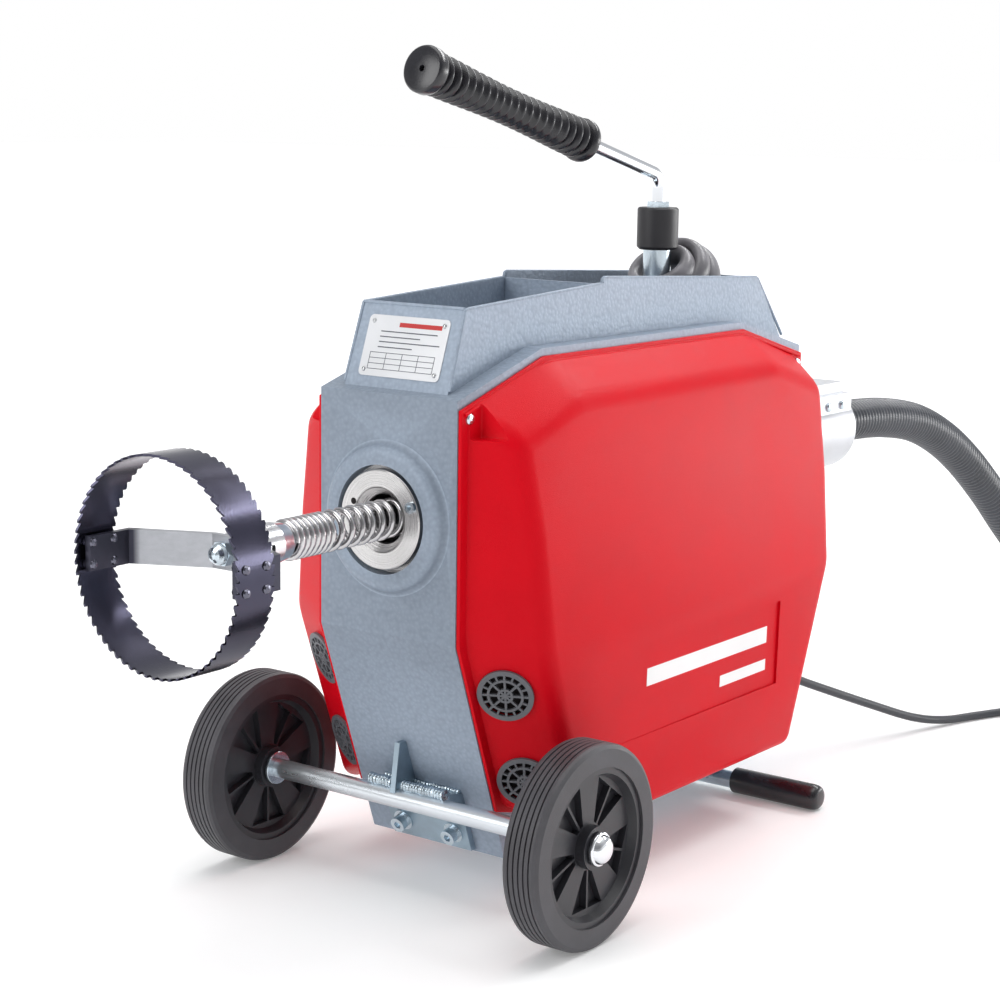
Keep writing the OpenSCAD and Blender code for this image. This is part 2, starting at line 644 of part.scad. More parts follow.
// How far the disc lies in from each side of the wheel
disc_in = 9;
// Plastic rim: outer hoop, dished disc with window recesses, thin ribs and a hub
module rim() rotate([0, 90, 0]) difference() {
    rotate_extrude($fn = 96) polygon([
        [hub_bore / 2, 1], [hub_d / 2, 1], [hub_d / 2, disc_in], [rim_d / 2 - 8, disc_in],
        [rim_d / 2 - 5, 2], [rim_d / 2, 2], [rim_d / 2, tyre_w - 2], [rim_d / 2 - 5, tyre_w - 2],
        [rim_d / 2 - 8, tyre_w - disc_in], [hub_d / 2, tyre_w - disc_in], [hub_d / 2, tyre_w - 1],
        [hub_bore / 2, tyre_w - 1]
    ]);
    for (i = [0:spoke_windows - 1]) rotate(i * 360 / spoke_windows) for (side = [0, 1])
        translate([0, 0, side ? tyre_w / 2 + 1 : disc_in - 1]) linear_extrude(tyre_w / 2 - disc_in) difference() {
            polygon([for (q = [[19, -14], [rim_d / 2 - 9, -22], [rim_d / 2 - 9, 22], [19, 14]])
                     q[0] * [cos(q[1]), sin(q[1])]]);
            translate([0, -1]) square([rim_d, 2]);
        }
}
module left_rim() color("#242426") from_front_plate()
    translate([-left_wheel_x - tyre_w, axle_y, axle_z]) rim();
module right_rim() color("#242426") from_front_plate()
    translate([right_wheel_x, axle_y, axle_z]) rim();

// Chrome caps on the axle ends and zinc collars inside the wheels
module axle_retainers() color(zinc) from_front_plate() {
    mirrored_x() translate([cap_x - 10, axle_y, axle_z]) rotate([0, 90, 0])
        rotate_extrude() polygon([[axle_d / 2, 0.5], [12.5, 0.5], [12.5, 4], [10.5, 7.5], [6, 9.6],
                                  [0, 10], [0, 4.2], [axle_d / 2, 4.2]]);
    for (x = [-left_wheel_x + 0.4, right_wheel_x - 3.4]) difference() {
        x_cylinder(28, x, x + 3, axle_y, axle_z);
        x_cylinder(axle_d, x - 1, x + 8, axle_y, axle_z);
    }
    // Spacer outside the left wheel
    difference() {
        x_cylinder(24, -cap_x + 10, -left_wheel_x - tyre_w - 0.6, axle_y, axle_z);
        x_cylinder(axle_d, -cap_x + 8, -left_wheel_x - tyre_w + 2, axle_y, axle_z);
    }
}

foot_y = 433;
foot_d = 24;
foot_tube_d = 16;
foot_flat = 0.6;
foot_end_x = 156;
foot_rubber_x = 66;
module rear_foot_bar() color(zinc) from_front_plate() {
    x_cylinder(foot_tube_d, -foot_end_x + 6, foot_end_x - 6, foot_y, foot_d / 2 - foot_flat);
    for (s = [-1, 1]) difference() {
        translate([s * 40 - 2.5, foot_y - 14, foot_d / 2]) cube([5, 28, base_z - foot_d / 2]);
        x_cylinder(foot_tube_d, s * 40 - 5, s * 40 + 5, foot_y, foot_d / 2 - foot_flat);
    }
}
module rear_foot_rubbers() color(rubber_black) from_front_plate() mirrored_x() difference() {
    translate([foot_rubber_x, foot_y, foot_d / 2 - foot_flat]) rotate([0, 90, 0])
        rotate_extrude() polygon([[foot_tube_d / 2, 0], [foot_d / 2, 0],
            [foot_d / 2, foot_end_x - foot_rubber_x - 4], [foot_d / 2 - 4, foot_end_x - foot_rubber_x],
            [0, foot_end_x - foot_rubber_x], [0, foot_end_x - foot_rubber_x - 5.9],
            [foot_tube_d / 2, foot_end_x - foot_rubber_x - 5.9]]);
    translate([foot_rubber_x - 5, foot_y - 20, -5]) cube([110, 40, 5]);
}

// ---------------------------------------------------------------- spiral and cutter

spiral_front = -121;
loose_turns = 14;
loose_pitch = 11.5;
tight_pitch = 5.9;
spiral_rear = 480;
tight_turns = 7;
spiral_r = (spiral_d - wire_d) / 2;
spiral_steps = 10;
wire_sides = 6;
// y of the wire centre after n turns: tight at the tool, loose at the mouth
function spiral_y(n) = spiral_front + wire_d / 2 + (n < tight_turns ? n * tight_pitch
    : tight_turns * tight_pitch + (n - tight_turns) * loose_pitch);
function spiral_point(n) = [spiral_r * cos(360 * n), spiral_y(n), spindle_z + spiral_r * sin(360 * n)];
function ring_at(n) = let (
        c = spiral_point(n), a = 360 * n,
        rise = n < tight_turns ? tight_pitch : loose_pitch,
        tangent = unit([-2 * PI * spiral_r * sin(a), rise, 2 * PI * spiral_r * cos(a)]),
        out = [cos(a), 0, sin(a)], side = cross(tangent, out))
    [for (k = [0:wire_sides - 1]) let (b = 360 * k / wire_sides)
        c + wire_d / 2 * (cos(b) * out + sin(b) * side)];
function unit(v) = v / norm(v);
// Closed tube through rings of equal length, given first to last
module skin(rings) {
    count = len(rings);
    sides = len(rings[0]);
    polyhedron(
        points = [for (r = rings, p = r) p],
        faces = concat(
            [[for (k = [0:sides - 1]) k]],
            [for (i = [0:count - 2], k = [0:sides - 1]) let (m = (k + 1) % sides)
                [i * sides + k, (i + 1) * sides + k, (i + 1) * sides + m, i * sides + m]],
            [[for (k = [sides - 1:-1:0]) (count - 1) * sides + k]]
        )
    );
}
core_y = spiral_y(tight_turns + loose_turns) - 4;
module drain_spiral() color("#b8babc") from_front_plate() {
    skin([for (i = [0:(tight_turns + loose_turns) * spiral_steps]) ring_at(i / spiral_steps)]);
    // The rest of the spiral inside the machine, as a plain sleeve
    y_ring(spiral_d, spiral_d - 2 * wire_d, core_y + 8, spiral_rear);
}

coupling_rear = spiral_front;
arm_back_y = -174;
arm_t = 5;
module spiral_coupling() color("#9a9da0") from_front_plate() difference() {
    union() {
        turned_about_spindle() polygon([
            [0, arm_back_y + 0.2], [13, arm_back_y + 0.2], [spiral_d / 2, arm_back_y + 6],
            [spiral_d / 2, coupling_rear - 12], [spiral_d / 2 - 2, coupling_rear], [0, coupling_rear]
        ]);
        y_cylinder(spiral_d - 2 * wire_d - 1.6, coupling_rear - 1, coupling_rear + 24);
        y_cylinder(9.8, arm_back_y - arm_t - 9, arm_back_y + 1);
    }
    // Cross slot of the quick coupling, open below
    translate([-20, arm_back_y + 26, spindle_z - 19]) cube([40, 4, 22]);
}

ring_r = cutter_d / 2;
band_t = 1.8;
tooth_h = 3;
tooth_pitch = cutter_d * PI / tooth_count;
ring_front = -cutter_front + tooth_h;
// Saw teeth as one closed band outline around the ring, cut by slots
module cutter_ring() color("#3d4254") from_front_plate() difference() {
    y_ring(cutter_d, cutter_d - 2 * band_t, ring_front - tooth_h, ring_front + band_w + tooth_h);
    for (edge = [0, 1], i = [0:tooth_count - 1])
        translate([0, ring_front + edge * band_w, spindle_z]) rotate([0, i * 360 / tooth_count, 0])
            mirror([0, edge ? 0 : 1, 0]) translate([ring_r, 0, 0]) rotate([0, -90, 0])
                linear_extrude(12, center = true)
                    polygon([[0.2, 0], [tooth_pitch - 0.2, tooth_h + 1], [0.2, tooth_h + 1]]);
    for (s = [0, 180], dy = rivet_rows, dz = [-1, 1]) at_rivet(s, dy, dz)
        cylinder(d = 4.1, h = 12, center = true);
}
rivet_rows = [6, 26];
rivet_dz = 8;
module at_rivet(s, dy, dz) translate([0, ring_front + dy, spindle_z]) rotate([0, s, 0])
    translate([ring_r, 0, dz * rivet_dz]) rotate([0, 90, 0]) children();
tab_x = ring_r - band_t - 3.4;
// Bent flat bar across the back of the ring, its ends turned forwards inside the band
module cutter_arm() color("#7d8186") from_front_plate() difference() {
    translate([0, 0, spindle_z - 12.5]) linear_extrude(25) polygon([
        [-tab_x, ring_front + 3], [-tab_x, -202], [-14, arm_back_y], [14, arm_back_y],
        [tab_x, -202], [tab_x, ring_front + 3], [tab_x - arm_t, ring_front + 3],
        [tab_x - arm_t, -207], [13, arm_back_y - arm_t], [-13, arm_back_y - arm_t],
        [arm_t - tab_x, -207], [arm_t - tab_x, ring_front + 3]
    ]);
    y_cylinder(10, arm_back_y - arm_t - 2, arm_back_y + 2);
    for (s = [0, 180], dy = rivet_rows, dz = [-1, 1]) at_rivet(s, dy, dz)
        translate([0, 0, -14]) cylinder(d = 4.1, h = 14);
}
module cutter_rivets() color(steel) from_front_plate()
    for (s = [0, 180], dy = rivet_rows, dz = [-1, 1]) at_rivet(s, dy, dz) {
        translate([0, 0, -10.6]) cylinder(d = 4, h = 10.8);
        rotate_extrude() polygon([[0, 0.05], [3.4, 0.05], [2.6, 1.4], [0, 2]]);
        translate([0, 0, -10.2]) rotate([180, 0, 0])
            rotate_extrude() polygon([[0, 0.05], [3.4, 0.05], [2.6, 1.2], [0, 1.6]]);
        translate([0, 0, -5.1]) cylinder(d = 7, h = 2.2);
    }
nut_y = arm_back_y - arm_t;
module cutter_nut() color("#c4c6c8") from_front_plate() difference() {
    union() {
        translate([0, nut_y, spindle_z]) rotate([90, 0, 0]) cylinder(d = 19, h = 6, $fn = 6);
        translate([0, nut_y - 6, spindle_z]) rotate([90, 0, 0])
            rotate_extrude() polygon([[0, 0], [8, 0], [7.6, 3], [5.6, 6], [3, 7.4], [0, 8]]);
    }
    y_cylinder(10, nut_y - 9.4, nut_y + 1);
}

// ---------------------------------------------------------------- rear hose and mains cable

guide_tube_d = 56;
socket_d = 84;
socket_start = 614;
socket_pad_x = 37;
socket_screw_y = [640, 668];
socket_screw_z = spindle_z + 27;
module rear_guide_tube() color("#c3c6c8") from_front_plate()
    y_ring(guide_tube_d, spindle_bore, 476, socket_start + 30);
// Cast clamp that holds the hose on the guide tube, with a flat top and a screw pad
module hose_socket() color("#d4d6d7") from_front_plate() difference() {
    union() {
        turned_about_spindle() polygon([
            [0, socket_start], [socket_d / 2 - 4, socket_start], [socket_d / 2, socket_start + 5],
            [socket_d / 2, socket_end - 3], [socket_d / 2 - 3, socket_end], [0, socket_end]
        ]);
        translate([-26, socket_start + 2, spindle_z + 20]) cube([52, socket_end - socket_start - 6, 28]);
        translate([0, socket_start + 6, spindle_z + 16]) cube([socket_pad_x, socket_end - socket_start - 12, 22]);
        for (y = [socket_start + 14, socket_start + 42, socket_start + 70])
            translate([0, y - 2.5, 0]) rotate([90, 0, 0]) translate([0, 0, -5]) linear_extrude(5)
                polygon([[20, spindle_z + 20], [socket_pad_x, spindle_z + 17], [socket_pad_x + 4, spindle_z - 2]]);
    }
    y_cylinder(guide_tube_d, socket_start - 1, socket_start + 30);
    y_cylinder(hose_d, socket_end - 30, socket_end + 1);
    y_cylinder(hose_d - 8, socket_start, socket_end + 1);
    for (y = socket_screw_y) x_cylinder(4.8, socket_pad_x - 15, socket_pad_x + 1, y, socket_screw_z);
}

// Hose route behind the front plate: out of the socket, down to the floor and to the side
hose_route = [
    [0, 665, 314], [0, 700, 314], [0, 760, 313], [0, 830, 308], [0, 906, 295], [0, 975, 271],
    [0, 1040, 238], [2, 1105, 194], [6, 1165, 145], [14, 1220, 99], [28, 1275, 60],
    [50, 1330, 34], [80, 1380, 24], [118, 1420, 21.8], [162, 1450, 21.8], [210, 1470, 21.8],
    [262, 1478, 21.8]
];
cuff_len = 70;
function lerp_route(route, i, t) =
    // Catmull-Rom blend between route points i and i + 1
    let (n = len(route),
         a = route[max(i - 1, 0)], b = route[i], c = route[min(i + 1, n - 1)], d = route[min(i + 2, n - 1)])
    0.5 * (2 * b + (c - a) * t + (2 * a - 5 * b + 4 * c - d) * t * t
        + (3 * b - a - 3 * c + d) * t * t * t);
function route_points(route, steps) = concat(
    [for (i = [0:len(route) - 2], s = [0:steps - 1]) lerp_route(route, i, s / steps)],
    [route[len(route) - 1]]);
// Rings square to the path; the side vector stays level
module swept_tube(path, d, sides) {
    last = len(path) - 1;
    skin([for (i = [0:last]) let (
        tangent = unit(path[min(i + 1, last)] - path[max(i - 1, 0)]),
        side = unit(cross(tangent, [0, 0, 1])), up = cross(side, tangent))
        [for (k = [0:sides - 1]) let (b = 360 * (k + 0.5) / sides)
            path[i] + d / 2 * (cos(b) * side + sin(b) * up)]]);
}
module guide_hose() color("#303236") from_front_plate()
    swept_tube(route_points(hose_route, 2), hose_d - 0.2, 12);
// Rubber cuff with a metal-like guide mouth at the loose end of the hose
module hose_cuff() color(rubber_black) from_front_plate() {
    last = hose_route[len(hose_route) - 1];
    translate([last[0], last[1], last[2] + 0.8]) rotate([0, 90, 7]) rotate_extrude() polygon([
        [0, 0.8], [22.2, 0.8], [22.2, cuff_len - 14], [20, cuff_len - 6], [20, cuff_len],
        [16, cuff_len], [16, 10], [0, 10]
    ]);
}

// Cable route: out of the gland in the rear slope, down to the floor and to the coil
boot_len = 32;
cable_route = [
    [45, 510, 105], [46, 523, 100], [51, 541, 93], [58, 560, 82], [70, 600, 65], [87, 662, 40], [104, 722, 17],
    [118, 768, 6.5], [134, 812, 4.4], [156, 856, 4.4], [184, 898, 4.4], [214, 934, 4.4]
];
coil_turns_high = 2;
coil_turns_wide = 4;
coil_h = coil_turns_high * cable_d;
coil_wide = coil_turns_wide * cable_d;
coil_x = 259;
coil_y = 896.5;
module cable_gland() color(rubber_black) from_front_plate()
    translate([gland_x, gland_y, gland_z]) rotate([-90 - slope_angle, 0, 0]) difference() {
        rotate_extrude() polygon([[0, -sheet - 3], [11, -sheet - 3], [11, -sheet], [7.9, -sheet], [7.9, 0],
            [12, 0], [12, 4], [8.5, 6], [cable_d / 2 + 1.4, boot_len], [0, boot_len]]);
        translate([0, 0, boot_len - 2]) cylinder(d = cable_d, h = 3);
    }
module power_cable() color("#26272a") from_front_plate()
    swept_tube(route_points(cable_route, 3), cable_d, 8);
module cable_coil() color("#26272a") from_front_plate() translate([coil_x, coil_y, 0])
    rotate_extrude() translate([coil_d / 2 - coil_wide / 2, 0.2]) square([coil_wide, coil_h]);
plug_turn = -76;
module power_plug() color("#1d1e20") from_front_plate()
    translate([coil_x + 64, coil_y - 13, 19]) rotate([0, 90, plug_turn]) {
    rotate_extrude() polygon([[0, 0], [5.6, 0], [9, 24], [18.6, 27], [18.6, 44], [17, 46], [0, 46]]);
    for (s = [-1, 1]) translate([0, s * 9.5, 46]) cylinder(d = 4.8, h = 19);
}

// Rotary switch on the sloping rear wall of the tray
module switch_knob() color(rubber_black) from_front_plate()
    translate([0, tray_rear_at(448), 448]) rotate([atan(tray_rear_lean) - 90, 0, 0]) {
        translate([0, 0, 0.3]) cylinder(d = 34, h = 11.7);
        translate([-4, -16, 12]) cube([8, 32, 5]);
        translate([0, 0, -18]) cylinder(d = 13.9, h = 18.5);
    }

housing();
tool_tray();
tray_insert();
rating_plate();
plate_rivets();
right_cover();
left_cover();
pan_head_screws();
right_vent_grilles();
left_vent_grilles();
guide_bushing();
bushing_screw();
spindle();
spindle_bearings();
bearing_plates();
spindle_pulley();
drive_belt();
motor_pulley();
motor_casing();
motor_rotor();
motor_fan();
clutch_cone();
clutch_jaw_1();
clutch_jaw_2();
clutch_jaw_3();
pressure_ring();
wedge_slide();
lever_bracket();
lever_pivot_pin();
lever_base();
lever_sleeve();
lever_nut();
lever_rod();
lever_grip();
lever_gaiter();
axle_tube();
axle_bracket();
bracket_bolts();
left_tyre();
left_rim();
right_tyre();
right_rim();
axle_retainers();
rear_foot_bar();
rear_foot_rubbers();
drain_spiral();
spiral_coupling();
cutter_ring();
cutter_arm();
cutter_rivets();
cutter_nut();
rear_guide_tube();
hose_socket();
guide_hose();
hose_cuff();
cable_gland();
power_cable();
cable_coil();
power_plug();
switch_knob();
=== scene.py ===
import math
import random

import bmesh
import bpy
from mathutils import Matrix, Vector


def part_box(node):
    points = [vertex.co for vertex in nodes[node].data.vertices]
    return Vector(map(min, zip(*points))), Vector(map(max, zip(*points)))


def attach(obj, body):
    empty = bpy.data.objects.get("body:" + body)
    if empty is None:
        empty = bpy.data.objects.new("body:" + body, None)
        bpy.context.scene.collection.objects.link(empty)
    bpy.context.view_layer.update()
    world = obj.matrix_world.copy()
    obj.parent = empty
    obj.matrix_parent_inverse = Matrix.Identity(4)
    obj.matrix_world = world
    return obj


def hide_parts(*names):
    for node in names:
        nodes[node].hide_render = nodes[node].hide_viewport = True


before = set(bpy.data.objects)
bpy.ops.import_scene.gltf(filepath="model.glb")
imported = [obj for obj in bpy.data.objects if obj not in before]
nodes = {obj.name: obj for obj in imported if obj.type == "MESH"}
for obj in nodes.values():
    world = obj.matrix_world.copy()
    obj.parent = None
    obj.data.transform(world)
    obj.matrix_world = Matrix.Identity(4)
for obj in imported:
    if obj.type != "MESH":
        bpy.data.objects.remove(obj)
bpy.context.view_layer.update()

MM = 0.001
FRONT_Y = -0.222
SPINDLE_Z = 314.0


def P(x, y, z):
    """A point in millimetres behind the front plate, as a point in the row frame."""
    return Vector((x * MM, y * MM + FRONT_Y, z * MM))


# ------------------------------------------------------------------ camera
cam_pos = Vector((1.0630816, -1.27783896 + FRONT_Y, 0.62288742))
cam_right = Vector((0.79974076, 0.60018786, 0.01375657))
cam_up = Vector((-0.1152757, 0.13103436, 0.98465299))
cam_back = -Vector((-0.58917419, 0.78905293, -0.1739806))
cam_data = bpy.data.cameras.new("camera")
cam_data.sensor_width = 36.0
cam_data.lens = 78.41
cam_data.clip_end = 50
camera = bpy.data.objects.new("camera", cam_data)
bpy.context.scene.collection.objects.link(camera)
camera.matrix_world = Matrix((
    (cam_right.x, cam_up.x, cam_back.x, cam_pos.x),
    (cam_right.y, cam_up.y, cam_back.y, cam_pos.y),
    (cam_right.z, cam_up.z, cam_back.z, cam_pos.z),
    (0, 0, 0, 1),
))
bpy.context.scene.camera = camera
bpy.context.scene.view_settings.view_transform = "Standard"


# ------------------------------------------------------------------ materials
def shader(name):
    m = bpy.data.materials.new(name)
    m.use_nodes = True
    tree = m.node_tree
    return m, tree, tree.nodes["Principled BSDF"]


def add(tree, kind, **inputs):
    n = tree.nodes.new(kind)
    for k, v in inputs.items():
        n.inputs[k.replace("_", " ")].default_value = v
    return n


def coords(tree, stretch=(1, 1, 1)):
    tc = tree.nodes.new("ShaderNodeTexCoord")
    mp = tree.nodes.new("ShaderNodeMapping")
    mp.inputs["Scale"].default_value = stretch
    tree.links.new(tc.outputs["Object"], mp.inputs["Vector"])
    return mp.outputs["Vector"]


def ramp(tree, source, stops):
    r = tree.nodes.new("ShaderNodeValToRGB")
    while len(r.color_ramp.elements) < len(stops):
        r.color_ramp.elements.new(0.5)
    for e, (p, c) in zip(r.color_ramp.elements, stops):
        e.position = p
        e.color = c if len(c) == 4 else (*c, 1)
    tree.links.new(source, r.inputs["Fac"])
    return r.outputs["Color"]


def bump(tree, height, strength, distance, after=None):
    b = tree.nodes.new("ShaderNodeBump")
    b.inputs["Strength"].default_value = strength
    b.inputs["Distance"].default_value = distance
    tree.links.new(height, b.inputs["Height"])
    if after is not None:
        tree.links.new(after, b.inputs["Normal"])
    return b.outputs["Normal"]


def scaled(c, k):
    return tuple(min(1, x * k) for x in c[:3]) + (1,)


def surface(name, color, rough, metal=0.0, grain=900.0, grain_depth=0.05, mottle=14.0, contrast=0.12,
            rough_swing=0.08, stretch=(1, 1, 1), specular=0.5, edge_highlight=0.0):
    """Base colour that drifts a little, uneven sheen, a fine grain, and a painted highlight that lightens
    sharp edges.
    """
    m, t, b = shader(name)
    v = coords(t, stretch)
    big = add(t, "ShaderNodeTexNoise", Scale=mottle, Detail=6, Roughness=0.6)
    t.links.new(v, big.inputs["Vector"])
    tint = ramp(t, big.outputs["Fac"], [(0.3, scaled(color, 1 - contrast)), (0.7, scaled(color,
                                                                                         1 + contrast))])
    # Painted highlight: sharp convex edges are lightened towards 1.8 times the base colour.
    if edge_highlight:
        geo = t.nodes.new("ShaderNodeNewGeometry")
        edge_highlight_mask = ramp(t, geo.outputs["Pointiness"], [(0.5, (0, 0, 0)), (0.56, (1, 1, 1))])
        mix = t.nodes.new("ShaderNodeMix")
        mix.data_type = "RGBA"
        scale = t.nodes.new("ShaderNodeMath")
        scale.operation = "MULTIPLY"
        scale.inputs[1].default_value = edge_highlight
        t.links.new(edge_highlight_mask, scale.inputs[0])
        t.links.new(scale.outputs[0], mix.inputs["Factor"])
        t.links.new(tint, mix.inputs["A"])
        mix.inputs["B"].default_value = scaled(color, 1.8)
        tint = mix.outputs["Result"]
    t.links.new(tint, b.inputs["Base Color"])
    sheen = ramp(t, big.outputs["Fac"], [(0.25, (rough - rough_swing,) * 3), (0.75,
                                                                              (rough + rough_swing,) * 3)])
    t.links.new(sheen, b.inputs["Roughness"])
    fine = add(t, "ShaderNodeTexNoise", Scale=grain, Detail=3, Roughness=0.5)
    t.links.new(v, fine.inputs["Vector"])
    t.links.new(bump(t, fine.outputs["Fac"], grain_depth, 0.001), b.inputs["Normal"])
    b.inputs["Metallic"].default_value = metal
    b.inputs["Specular IOR Level"].default_value = specular
    return m


def overlay(m, factor, color):
    """Lays a second colour over a material's own, where factor is 1."""
    t = m.node_tree
    b = t.nodes["Principled BSDF"]
    mix = t.nodes.new("ShaderNodeMix")
    mix.data_type = "RGBA"
    t.links.new(factor, mix.inputs["Factor"])
    t.links.new(b.inputs["Base Color"].links[0].from_socket, mix.inputs["A"])
    mix.inputs["B"].default_value = (*color, 1)
    t.links.new(mix.outputs["Result"], b.inputs["Base Color"])


def hammered(m, scale, depth, tint):
    """Cells of hammer-finish paint: each a little lighter or darker, with a rounded relief."""
    t = m.node_tree
    b = t.nodes["Principled BSDF"]
    v = coords(t)
    cells = add(t, "ShaderNodeTexVoronoi", Scale=scale)
    cells.feature = "SMOOTH_F1"
    t.links.new(v, cells.inputs["Vector"])
    shade = ramp(t, cells.outputs["Distance"], [(0.1, (1, 1, 1)), (0.75, (1 - tint,) * 3)])
    mul = t.nodes.new("ShaderNodeMix")
    mul.data_type = "RGBA"
    mul.blend_type = "MULTIPLY"
    mul.inputs["Factor"].default_value = 1
    t.links.new(b.inputs["Base Color"].links[0].from_socket, mul.inputs["A"])
    t.links.new(shade, mul.inputs["B"])
    t.links.new(mul.outputs["Result"], b.inputs["Base Color"])
    old = b.inputs["Normal"].links[0].from_socket
    t.links.new(bump(t, cells.outputs["Distance"], depth, 0.0012, after=old), b.inputs["Normal"])
    return m


def turned(m, centre, along, depth, scale=1600):
    """Fine rings round an axis, as a lathe leaves them; along is 1 on the axis' own coordinate."""
    t = m.node_tree
    b = t.nodes["Principled BSDF"]
    tc = t.nodes.new("ShaderNodeTexCoord")
    sub = t.nodes.new("ShaderNodeVectorMath")
    sub.operation = "SUBTRACT"
    sub.inputs[1].default_value = centre
    mul = t.nodes.new("ShaderNodeVectorMath")
    mul.operation = "MULTIPLY"
    mul.inputs[1].default_value = tuple(1 - a for a in along)
    size = t.nodes.new("ShaderNodeVectorMath")
    size.operation = "LENGTH"
    t.links.new(tc.outputs["Object"], sub.inputs[0])
    t.links.new(sub.outputs[0], mul.inputs[0])
    t.links.new(mul.outputs[0], size.inputs[0])
    ring = t.nodes.new("ShaderNodeTexNoise")
    ring.noise_dimensions = "1D"
    ring.inputs["Scale"].default_value = scale
    ring.inputs["Detail"].default_value = 3
    t.links.new(size.outputs["Value"], ring.inputs["W"])
    old = b.inputs["Normal"].links[0].from_socket
    t.links.new(bump(t, ring.outputs["Fac"], depth, 0.0005, after=old), b.inputs["Normal"])
    sheen = ramp(t, ring.outputs["Fac"], [(0.35, (0.16, 0.16, 0.16)), (0.65, (0.36, 0.36, 0.36))])
    t.links.new(sheen, b.inputs["Roughness"])
    return m


def beyond(m, axis, start, stop):
    """A factor that is 0 inside and 1 outside a distance from the middle plane across an axis."""
    t = m.node_tree
    tc = t.nodes.new("ShaderNodeTexCoord")
    sep = t.nodes.new("ShaderNodeSeparateXYZ")
    t.links.new(tc.outputs["Object"], sep.inputs[0])
    far = t.nodes.new("ShaderNodeMapRange")
    size = t.nodes.new("ShaderNodeMath")
    size.operation = "ABSOLUTE"
    t.links.new(sep.outputs[axis], size.inputs[0])
    t.links.new(size.outputs[0], far.inputs["Value"])
    far.inputs["From Min"].default_value = start
    far.inputs["From Max"].default_value = stop
    return far.outputs["Result"]


# Where a material is given an edge amount, its sharp edges get a painted highlight.
grey_base = surface("hammer_grey", (0.265, 0.315, 0.385), 0.46, metal=0.12, specular=0.3, grain=900,
                    grain_depth=0.08, mottle=9, contrast=0.08, edge_highlight=0.35)
grey_paint = hammered(grey_base, 330, 0.30, 0.16)
red_plastic = surface("red_plastic", (0.64, 0.002, 0.010), 0.34, grain=1300, grain_depth=0.30,
                      contrast=0.05, rough_swing=0.05, specular=0.09, edge_highlight=0.10)
steel = surface("steel", (0.50, 0.51, 0.52), 0.26, metal=1.0, grain=700, grain_depth=0.05, contrast=0.15)
brushed = surface("brushed_steel", (0.52, 0.53, 0.55), 0.34, metal=1.0, grain=260, grain_depth=0.12,
                  contrast=0.14, stretch=(1, 9, 9))
arm_steel = surface("arm_steel", (0.42, 0.43, 0.46), 0.36, metal=1.0, grain=260, grain_depth=0.12,
                    contrast=0.14, stretch=(1, 9, 9))
overlay(arm_steel, beyond(arm_steel, "X", 0.061, 0.066), (0.055, 0.055, 0.075))
bushing_steel = turned(surface("bushing_steel", (0.56, 0.55, 0.55), 0.26, metal=1.0, contrast=0.1),
                       tuple(P(0, 0, SPINDLE_Z)), (0, 1, 0), 0.35)
zinc = surface("zinc_plate", (0.60, 0.68, 0.74), 0.22, metal=1.0, grain=500, grain_depth=0.06, contrast=0.2,
               mottle=30, rough_swing=0.08)
bracket_zinc = surface("bracket_zinc", (0.36, 0.45, 0.52), 0.34, metal=0.9, grain=300, grain_depth=0.12,
                       contrast=0.25, mottle=22, rough_swing=0.1)
axle_zinc = surface("axle_zinc", (0.74, 0.78, 0.82), 0.30, metal=0.9, grain=500, grain_depth=0.05,
                    contrast=0.1,
                    rough_swing=0.06, stretch=(0.3, 1, 1))
weld_metal = surface("weld_metal", (0.50, 0.58, 0.64), 0.24, metal=1.0, grain=240, grain_depth=0.5,
                     contrast=0.35, mottle=60)
chrome = surface("chrome", (0.80, 0.82, 0.85), 0.09, metal=1.0, grain=300, grain_depth=0.02, contrast=0.05,
                 rough_swing=0.03)
spring = surface("spring_wire", (0.60, 0.59, 0.60), 0.2, metal=1.0, grain=900, grain_depth=0.1, contrast=0.2)
blued = surface("blued_steel", (0.046, 0.045, 0.068), 0.2, metal=0.95, grain=600, grain_depth=0.05,
                contrast=0.35, rough_swing=0.08, edge_highlight=0.5, specular=0.6)
dark_rivet = surface("dark_rivet", (0.15, 0.15, 0.19), 0.24, metal=1.0, grain=600, grain_depth=0.05,
                     contrast=0.2)
bright = surface("bright_steel", (0.72, 0.72, 0.74), 0.2, metal=1.0, grain=500, grain_depth=0.05,
                 contrast=0.12)
castgrey = surface("cast_grey", (0.16, 0.17, 0.18), 0.6, metal=0.4, grain=500, grain_depth=0.3, contrast=0.2)
bronze = surface("bronze", (0.36, 0.26, 0.12), 0.35, metal=1.0, grain=600, grain_depth=0.06)
alu = surface("cast_aluminium", (0.62, 0.63, 0.66), 0.34, metal=0.8, grain=900, grain_depth=0.16,
              contrast=0.08)
rubber = surface("rubber", (0.014, 0.014, 0.018), 0.24, grain=1200, grain_depth=0.08, contrast=0.25,
                 specular=0.6)
sleeve_rubber = surface("sleeve_rubber", (0.016, 0.015, 0.019), 0.42, grain=1500, grain_depth=0.12,
                        contrast=0.2)
soft_rubber = surface("bellows_rubber", (0.17, 0.165, 0.18), 0.36, grain=900, grain_depth=0.1, contrast=0.35,
                      mottle=35)
tyre_rubber = surface("tyre_rubber", (0.060, 0.058, 0.066), 0.50, grain=1400, grain_depth=0.16, contrast=0.25,
                      specular=0.5, mottle=25)
rim_plastic = surface("rim_plastic", (0.030, 0.030, 0.036), 0.36, grain=900, grain_depth=0.05, contrast=0.15)
dark_plastic = surface("dark_plastic", (0.13, 0.135, 0.15), 0.45, grain=1200, grain_depth=0.1)
hose_rubber = surface("hose_rubber", (0.040, 0.044, 0.054), 0.32, grain=900, grain_depth=0.06, contrast=0.2)
cable_rubber = surface("cable_rubber", (0.040, 0.043, 0.052), 0.45, grain=1500, grain_depth=0.08)
